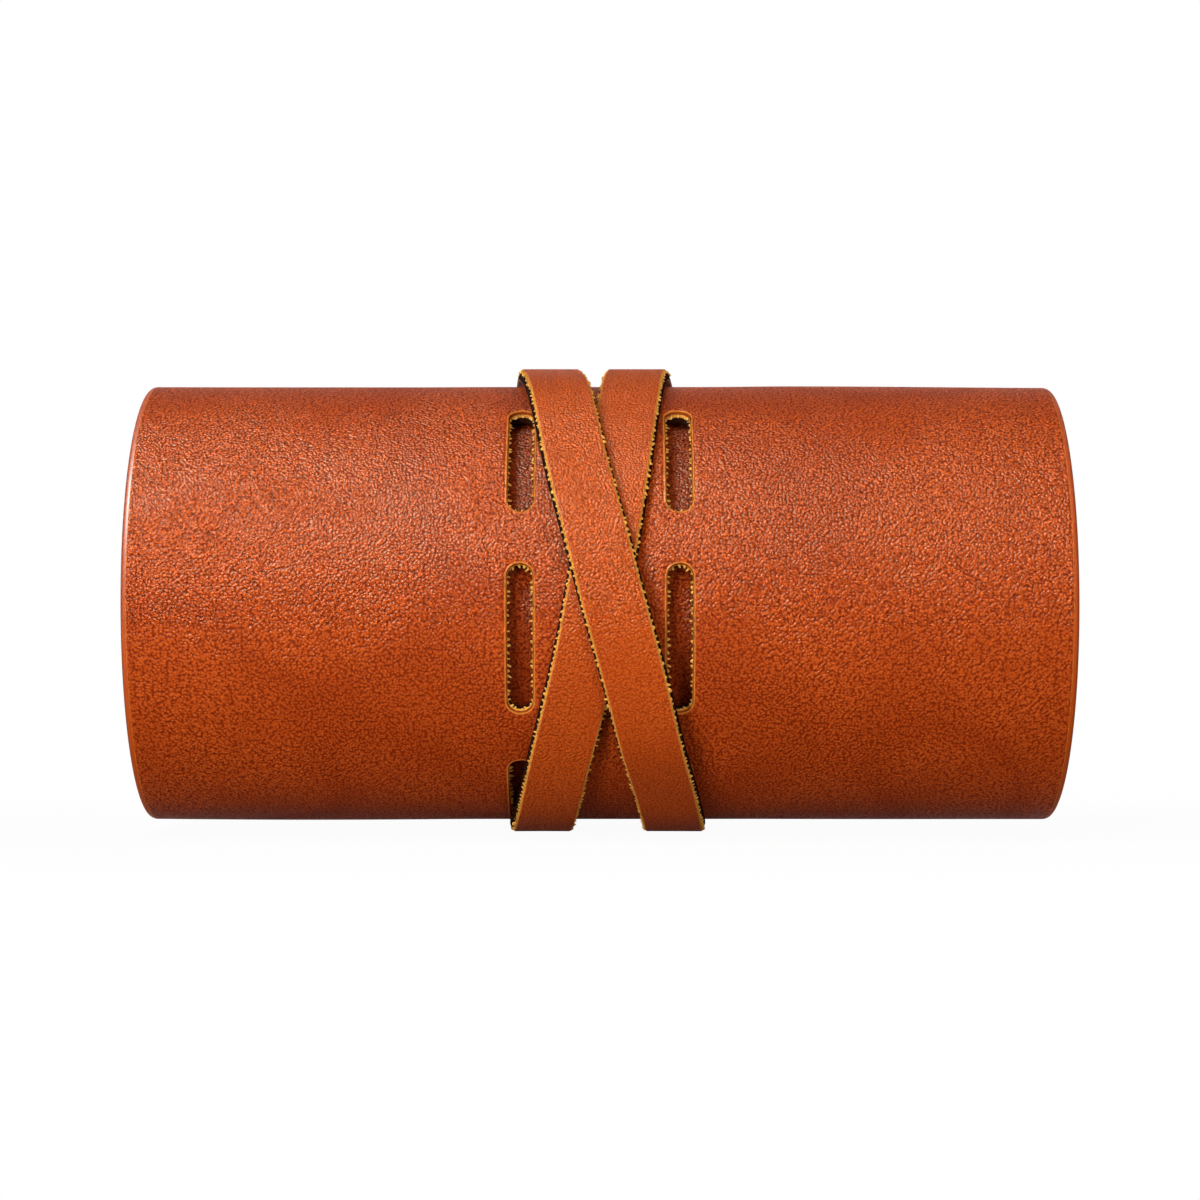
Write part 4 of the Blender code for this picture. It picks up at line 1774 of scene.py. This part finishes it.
@dataclass
class StitchLine:
    """A row of saddle stitches: short arched threads that dive into the leather at both ends."""

    radius: float = 0.00038
    pitch: float = 0.0036
    share: float = 0.82
    dive: float = 0.0005
    slant: float = 0.00025
    arch_power: float = 0.35
    end_power: int = 10
    sides: int = 8
    rings: int = 9

    def build(self, name: str, length: float, place: Place, node: str) -> None:
        """Makes a seam: each thread's middle line is an arch sin(pi t)^0.35, and its ends are round.

        Args:
            name: the piece's name.
            length: the seam's length.
            place: puts (along the seam, across it, height above the leather) in space.
            node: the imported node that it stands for.
        """
        count = max(1, round(length / self.pitch))
        pitch = length / count
        starts = (np.arange(count) + 0.5 - self.share / 2.0)[:, None, None] * pitch
        along = np.linspace(0.0, 1.0, self.rings)[None, :, None]
        angle = circle(self.sides)[None, None, :]
        around = self.radius * np.sqrt(np.clip(1.0 - (2.0 * along - 1.0) ** self.end_power, 0.0, 1.0))
        way = starts + along * pitch * self.share
        across = self.slant * (2.0 * along - 1.0) + around * np.cos(angle)
        arch = self.radius - self.dive * (1.0 - np.sin(math.pi * along) ** self.arch_power)
        way, across, height, angle = np.broadcast_arrays(way, across, arch + around * np.sin(angle), angle)
        made = Patchwork()
        made.grid(place(way, across, height), np.stack([way, angle * self.radius], -1), wrap=True)
        settle(made.make(name, [Finishes.THREAD]), Body.ROLL, [node])


@dataclass
class PocketPanel:
    """The thin brown panel sewn inside the inner turn, which makes the flat pockets, and its seams."""

    wall: float = 0.0012
    gap: float = 0.0003
    turns: tuple = (205.0, 405.0)
    margin: float = 0.003
    depth: float = 0.118
    seam_margin: float = 0.004
    thread_radius: float = 0.0004
    pocket_count: int = 3
    rim_reach: float = 0.0003
    edge: EdgeShape = EdgeShape(0.0005, 0.0005)
    row_step: float = 0.0015
    columns: int = 50
    inner_share: float = 0.98

    def __post_init__(self) -> None:
        """Works out the panel's face and its length round the roll."""
        self.face = RollCover().flesh_radius - self.gap
        self.length = math.radians(self.turns[1] - self.turns[0]) * self.face
        self.middle = -AXIS.length / 2.0 + self.margin + self.depth / 2.0

    def place(self, along: np.ndarray, across: np.ndarray, depth: np.ndarray) -> np.ndarray:
        """Lays the panel inside the roll, its grain side to the middle.

        Args:
            along: distances round the roll.
            across: distances from the panel's middle, along the roll.
            depth: depths below the grain side.

        Returns:
            Points.
        """
        turn = self.turns[0] + np.degrees(along / self.face)
        return AXIS.point(turn, self.face - self.wall + depth, self.middle + across)

    def build_seams(self) -> None:
        """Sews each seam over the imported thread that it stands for: the bottom one, then the others."""
        radius = self.face - self.wall - self.gap - self.thread_radius
        side = math.degrees(self.seam_margin / radius)
        first, last = self.turns[0] + side, self.turns[1] - side
        bottom = -AXIS.length / 2.0 + self.margin + self.seam_margin
        start = bottom + self.thread_radius + 2.0 * self.gap
        mouth = -AXIS.length / 2.0 + self.margin + self.depth
        stitches = StitchLine()
        top = self.face - self.wall

        def along_bottom(along: np.ndarray, across: np.ndarray, height: np.ndarray) -> np.ndarray:
            """Follows the panel's bottom edge round the roll."""
            return AXIS.point(first + np.degrees(along / radius), top - height, bottom + across)

        length = math.radians(last - first) * radius
        stitches.build("bottom_stitches", length, along_bottom, "pocket_seam_bottom")
        length = mouth - start - self.edge.reach
        for line in range(self.pocket_count + 1):
            turn = first + (last - first) * line / self.pocket_count

            def to_mouth(along: np.ndarray, across: np.ndarray, height: np.ndarray) -> np.ndarray:
                """Runs straight along the roll, from the bottom seam to the pockets' mouth."""
                return AXIS.point(turn + np.degrees(across / radius), top - height, start + along)

            stitches.build(f"pocket_stitches_{line + 1}", length, to_mouth, f"pocket_seam_{line + 1}")

    def build(self) -> bpy.types.Object:
        """Makes the panel and its stitches.

        Returns:
            The panel.
        """
        half = self.depth / 2.0
        steps = self.edge.steps(self.rim_reach)
        slab = Slab(
            along=end_rows(self.length, self.row_step, steps),
            shares=crowded(half, steps, even(half, self.inner_share, self.columns)),
            half_width=lambda along: np.full_like(along, half),
            wall=self.wall,
            grain_edge=self.edge,
            flesh_edge=self.edge,
            place=self.place,
        )
        looks = [Finishes.POCKET, Finishes.POCKET_EDGE, Finishes.POCKET_FLESH]
        panel = slab.build("pocket_panel_leather", looks)
        settle(panel, Body.ROLL, ["pocket_panel"])
        self.build_seams()
        return panel


@dataclass
class CableLoops:
    """Three brown loops inside the roll, each held by a brass rivet through either foot."""

    count: int = 3
    spacing: float = 0.055
    width: float = 0.012
    wall: float = 0.0014
    gap: float = 0.0003
    turn: float = 84.0
    arch_turn: float = 17.0
    foot_turn: float = 12.0
    height: float = 0.011
    side_share: float = 0.6
    rim_reach: float = 0.0003
    edge: EdgeShape = EdgeShape(0.0005, 0.0005)
    flesh_edge: EdgeShape = EdgeShape(0.0003, 0.0003)
    corner: EdgeShape = EdgeShape(0.002, 0.002)
    path_steps: int = 300
    row_step: float = 0.0006
    columns: int = 10
    inner_share: float = 0.8
    post_radius: float = 0.0013
    head_radius: float = 0.0031
    head_height: float = 0.0008
    head_edge_share: float = 0.3
    back_radius: float = 0.0027
    back_height: float = 0.0005
    seat_gap: float = 0.0004
    rivet_steps: int = 32
    dome_steps: int = 8

    def centres(self) -> list[float]:
        """Places of the loops along the roll."""
        return [self.spacing * (number - (self.count - 1) / 2.0) for number in range(self.count)]

    def path(self) -> np.ndarray:
        """The loop's outer face: flat feet on the cover and an arch between them, height x smooth step.

        Returns:
            (points, 2) places as Y and Z from the axis.
        """
        off = np.linspace(-1.0, 1.0, self.path_steps) * (self.arch_turn + self.foot_turn)
        arch = smooth_step((1.0 - np.abs(off) / self.arch_turn) / self.side_share)
        radius = RollCover().flesh_radius - self.gap - self.height * arch
        angle = np.radians(self.turn + off)
        return np.stack([-radius * np.cos(angle), radius * np.sin(angle)], -1)

    def build_loop(self, number: int, centre: float) -> None:
        """Makes one loop.

        Args:
            number: the loop's number, from 1.
            centre: its place along the roll.
        """

        def lift(first: np.ndarray, second: np.ndarray, across: np.ndarray) -> np.ndarray:
            """Stands the path in the plane square to the roll."""
            return np.stack(np.broadcast_arrays(centre + across, AXIS.y + first, AXIS.z + second), -1)

        path = self.path()
        ribbon = Ribbon(path, -path_normals(path), self.wall, lift)
        length, half = ribbon.way[-1], self.width / 2.0
        steps = self.edge.steps(self.rim_reach)
        slab = Slab(
            along=end_rows(length, self.row_step, steps),
            shares=crowded(half, steps, even(half, self.inner_share, self.columns)),
            half_width=lambda along: half - self.corner.drop(np.minimum(along, length - along)),
            wall=self.wall,
            grain_edge=self.edge,
            flesh_edge=self.flesh_edge,
            place=ribbon.place,
        )
        looks = [Finishes.POCKET, Finishes.POCKET_EDGE, Finishes.POCKET_FLESH]
        loop = slab.build(f"loop_leather_{number}", looks)
        settle(loop, Body.ROLL, [f"cable_loop_{number}"])

    def build_rivet(self, name: str, turn: float, centre: float, node: str) -> None:
        """Turns a rivet: the profile of a domed head, a post and a flat back, carried round its own axis.

        Args:
            name: the piece's name.
            turn: its place round the roll.
            centre: its place along the roll.
            node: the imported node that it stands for.
        """
        cover = RollCover()
        base = AXIS.radius - cover.pitch - self.seat_gap
        seat = cover.wall + self.gap + self.wall + 2.0 * self.seat_gap
        bow = np.linspace(0.0, math.pi / 2.0, self.dome_steps)
        rise = self.head_edge_share + (1.0 - self.head_edge_share) * np.cos(bow)
        dome = np.stack([self.head_radius * np.sin(bow), seat + self.head_height * rise], -1)
        stem = [
            [self.head_radius, seat],
            [self.post_radius, seat],
            [self.post_radius, 0.0],
            [self.back_radius, 0.0],
            [self.back_radius, -self.back_height],
            [0.0, -self.back_height],
        ]
        profile = np.concatenate([dome, stem])
        out, up = profile.T[:, :, None, None]
        angle = circle(self.rivet_steps)[None, :, None]
        middle = AXIS.point(turn, base, centre)
        inward = AXIS.point(turn, 0.0, centre) - AXIS.point(turn, 1.0, centre)
        side = np.array([0.0, -inward[2], inward[1]])
        across = out * (np.cos(angle) * np.array([1.0, 0.0, 0.0]))
        points = middle + across + out * (np.sin(angle) * side) + up * inward
        made = Patchwork()
        made.grid(points, points[..., :2], wrap=True)
        rivet = made.make(name, [Finishes.BRASS])
        settle(rivet, Body.ROLL, [node])

    def build(self) -> None:
        """Makes the loops and their rivets."""
        reach = self.arch_turn + self.foot_turn / 2.0
        for number, centre in enumerate(self.centres(), 1):
            self.build_loop(number, centre)
            for end, turn in (("front", self.turn - reach), ("back", self.turn + reach)):
                self.build_rivet(f"brass_rivet_{number}_{end}", turn, centre, f"loop_rivet_{number}_{end}")


# Stage


@dataclass
class Lamp:
    """A soft lamp aimed at the roll."""

    name: str
    place: tuple[float, float, float]
    size: tuple[float, float]
    power: float
    color: Color = WHITE
    gloss_only: bool = False
    matt_only: bool = False

    def build(self) -> None:
        """Makes an area lamp whose back is away from the roll's middle."""
        light = bpy.data.lights.new(self.name, "AREA")
        light.shape = "RECTANGLE"
        light.size, light.size_y = self.size
        light.energy = self.power
        light.color = self.color
        obj = bpy.data.objects.new(self.name, light)
        obj.visible_diffuse = not self.gloss_only
        obj.visible_glossy = not self.matt_only
        bpy.context.scene.collection.objects.link(obj)
        obj.location = self.place
        aim = obj.location.copy()
        aim.y -= AXIS.y
        aim.z -= AXIS.z
        obj.rotation_euler = aim.to_track_quat("Z", "Y").to_euler()


@dataclass
class Studio:
    """The pale floor, the lamps, the pale surroundings and the camera at the photograph's place."""

    camera_distance: float = 0.621
    camera_lift: float = 0.00064
    lens: float = 87.24
    floor_half: float = 4.0
    floor_drop: float = 0.00005
    floor_color: Color = (0.28, 0.28, 0.28)
    shadow_share: float = 0.05
    shadow_reach: float = 0.16
    mirrored_shadow_share: float = 0.9
    mirrored_shadow_reach: float = 0.06
    shadow_squeeze: float = 0.3
    ambient: Color = (0.2, 0.2, 0.2)
    lamps: tuple = (
        Lamp("key_lamp", (-0.4, -0.7, 0.19), (0.25, 0.25), 4.3, (1.0, 0.98, 0.95)),
        Lamp("fill_lamp", (0.4, -0.7, 0.19), (0.25, 0.25), 1.65),
        Lamp("top_lamp", (-0.15, -0.42, 0.75), (0.25, 0.25), 1.5),
        Lamp("sheen_lamp", (-0.42, -0.5, 0.75), (0.22, 0.22), 660.0, gloss_only=True),
        Lamp("back_lamp", (0.35, 0.8, 0.3), (0.3, 0.3), 4.0, matt_only=True),
    )

    @staticmethod
    def seen_directly(bench: NodeBench) -> bpy.types.NodeSocket:
        """1 for the camera's rays and for those that metal or glass sends on, else 0.

        Args:
            bench: where the nodes are added.

        Returns:
            The share.
        """
        path = bench.add("LightPath").outputs
        seen = bench.math("MAXIMUM", path["Is Glossy Ray"], path["Is Transmission Ray"])
        return bench.math("MAXIMUM", path["Is Camera Ray"], seen)

    def floor_material(self) -> bpy.types.Material:
        """White floor: seen directly it glows white, but for a share that keeps the roll's shadow.

        Returns:
            The material.
        """
        material, bench, shader = new_material("white_floor")
        seen = self.seen_directly(bench)
        color = bench.mix(seen, self.floor_color, WHITE)
        bench.give(shader, {"Base Color": color, "Roughness": 1.0, "Specular IOR Level": 0.0})
        glow = bench.add("Emission", {"Color": WHITE, "Strength": 1.0}).outputs[0]
        place = bench.add("TexCoord").outputs["Object"]
        away = bench.vector("MULTIPLY", place, (self.shadow_squeeze, 1.0, 0.0))
        away = bench.add("VectorMath", {0: away}, operation="LENGTH").outputs["Value"]
        near = bench.span(away, 0.0, self.shadow_reach, self.shadow_share, 0.0)
        under = bench.span(away, 0.0, self.mirrored_shadow_reach, self.mirrored_shadow_share, 0.0)
        mirrored = bench.math("MULTIPLY", under, bench.add("LightPath").outputs["Is Glossy Ray"])
        shadow = bench.math("MAXIMUM", near, mirrored)
        share = bench.math("MULTIPLY", seen, bench.math("SUBTRACT", 1.0, shadow))
        mixed = bench.add("MixShader", {0: share, 1: shader.outputs[0], 2: glow})
        bench.give(bench.tree.nodes["Material Output"], {"Surface": mixed.outputs[0]})
        return material

    def build_floor(self) -> None:
        """Makes the floor, a flat square just under the roll."""
        side = np.array([-self.floor_half, self.floor_half])
        across, along = np.meshgrid(side, side)
        points = np.stack([across, along, np.full_like(across, -self.floor_drop)], -1)
        mesh = bpy.data.meshes.new("floor")
        mesh.from_pydata(points.reshape(-1, 3).tolist(), [], [(0, 1, 3, 2)])
        mesh.materials.append(self.floor_material())
        floor = bpy.data.objects.new("floor", mesh)
        bpy.context.scene.collection.objects.link(floor)

    def build_world(self) -> None:
        """Plain soft surroundings, white where they are seen directly."""
        world = bpy.data.worlds.new("soft_surroundings")
        world.use_nodes = True
        bench = NodeBench(world.node_tree)
        color = bench.mix(self.seen_directly(bench), self.ambient, WHITE)
        bench.give(bench.tree.nodes["Background"], {"Color": color})
        bpy.context.scene.world = world

    def build_camera(self) -> None:
        """Puts the camera level with the roll's axis, in front of its middle."""
        data = bpy.data.cameras.new("camera")
        data.lens = self.lens
        camera = bpy.data.objects.new("camera", data)
        bpy.context.scene.collection.objects.link(camera)
        camera.location = (0.0, AXIS.y - self.camera_distance, AXIS.z + self.camera_lift)
        camera.rotation_euler = (math.pi / 2.0, 0.0, 0.0)
        bpy.context.scene.camera = camera

    def build(self) -> None:
        """Makes the whole stage."""
        bpy.context.scene.view_settings.view_transform = "Standard"
        self.build_floor()
        self.build_world()
        self.build_camera()
        for lamp in self.lamps:
            lamp.build()


def main() -> None:
    """Builds the stage and every piece, in order."""
    logging.basicConfig(level=logging.INFO, format="%(name)s: %(message)s")
    Studio().build()
    strap = ClosureStrap()
    RollCover().build()
    strap.build()
    StrapKeeper().build(strap)
    PocketPanel().build()
    CableLoops().build()


if __name__ == "__main__":
    main()
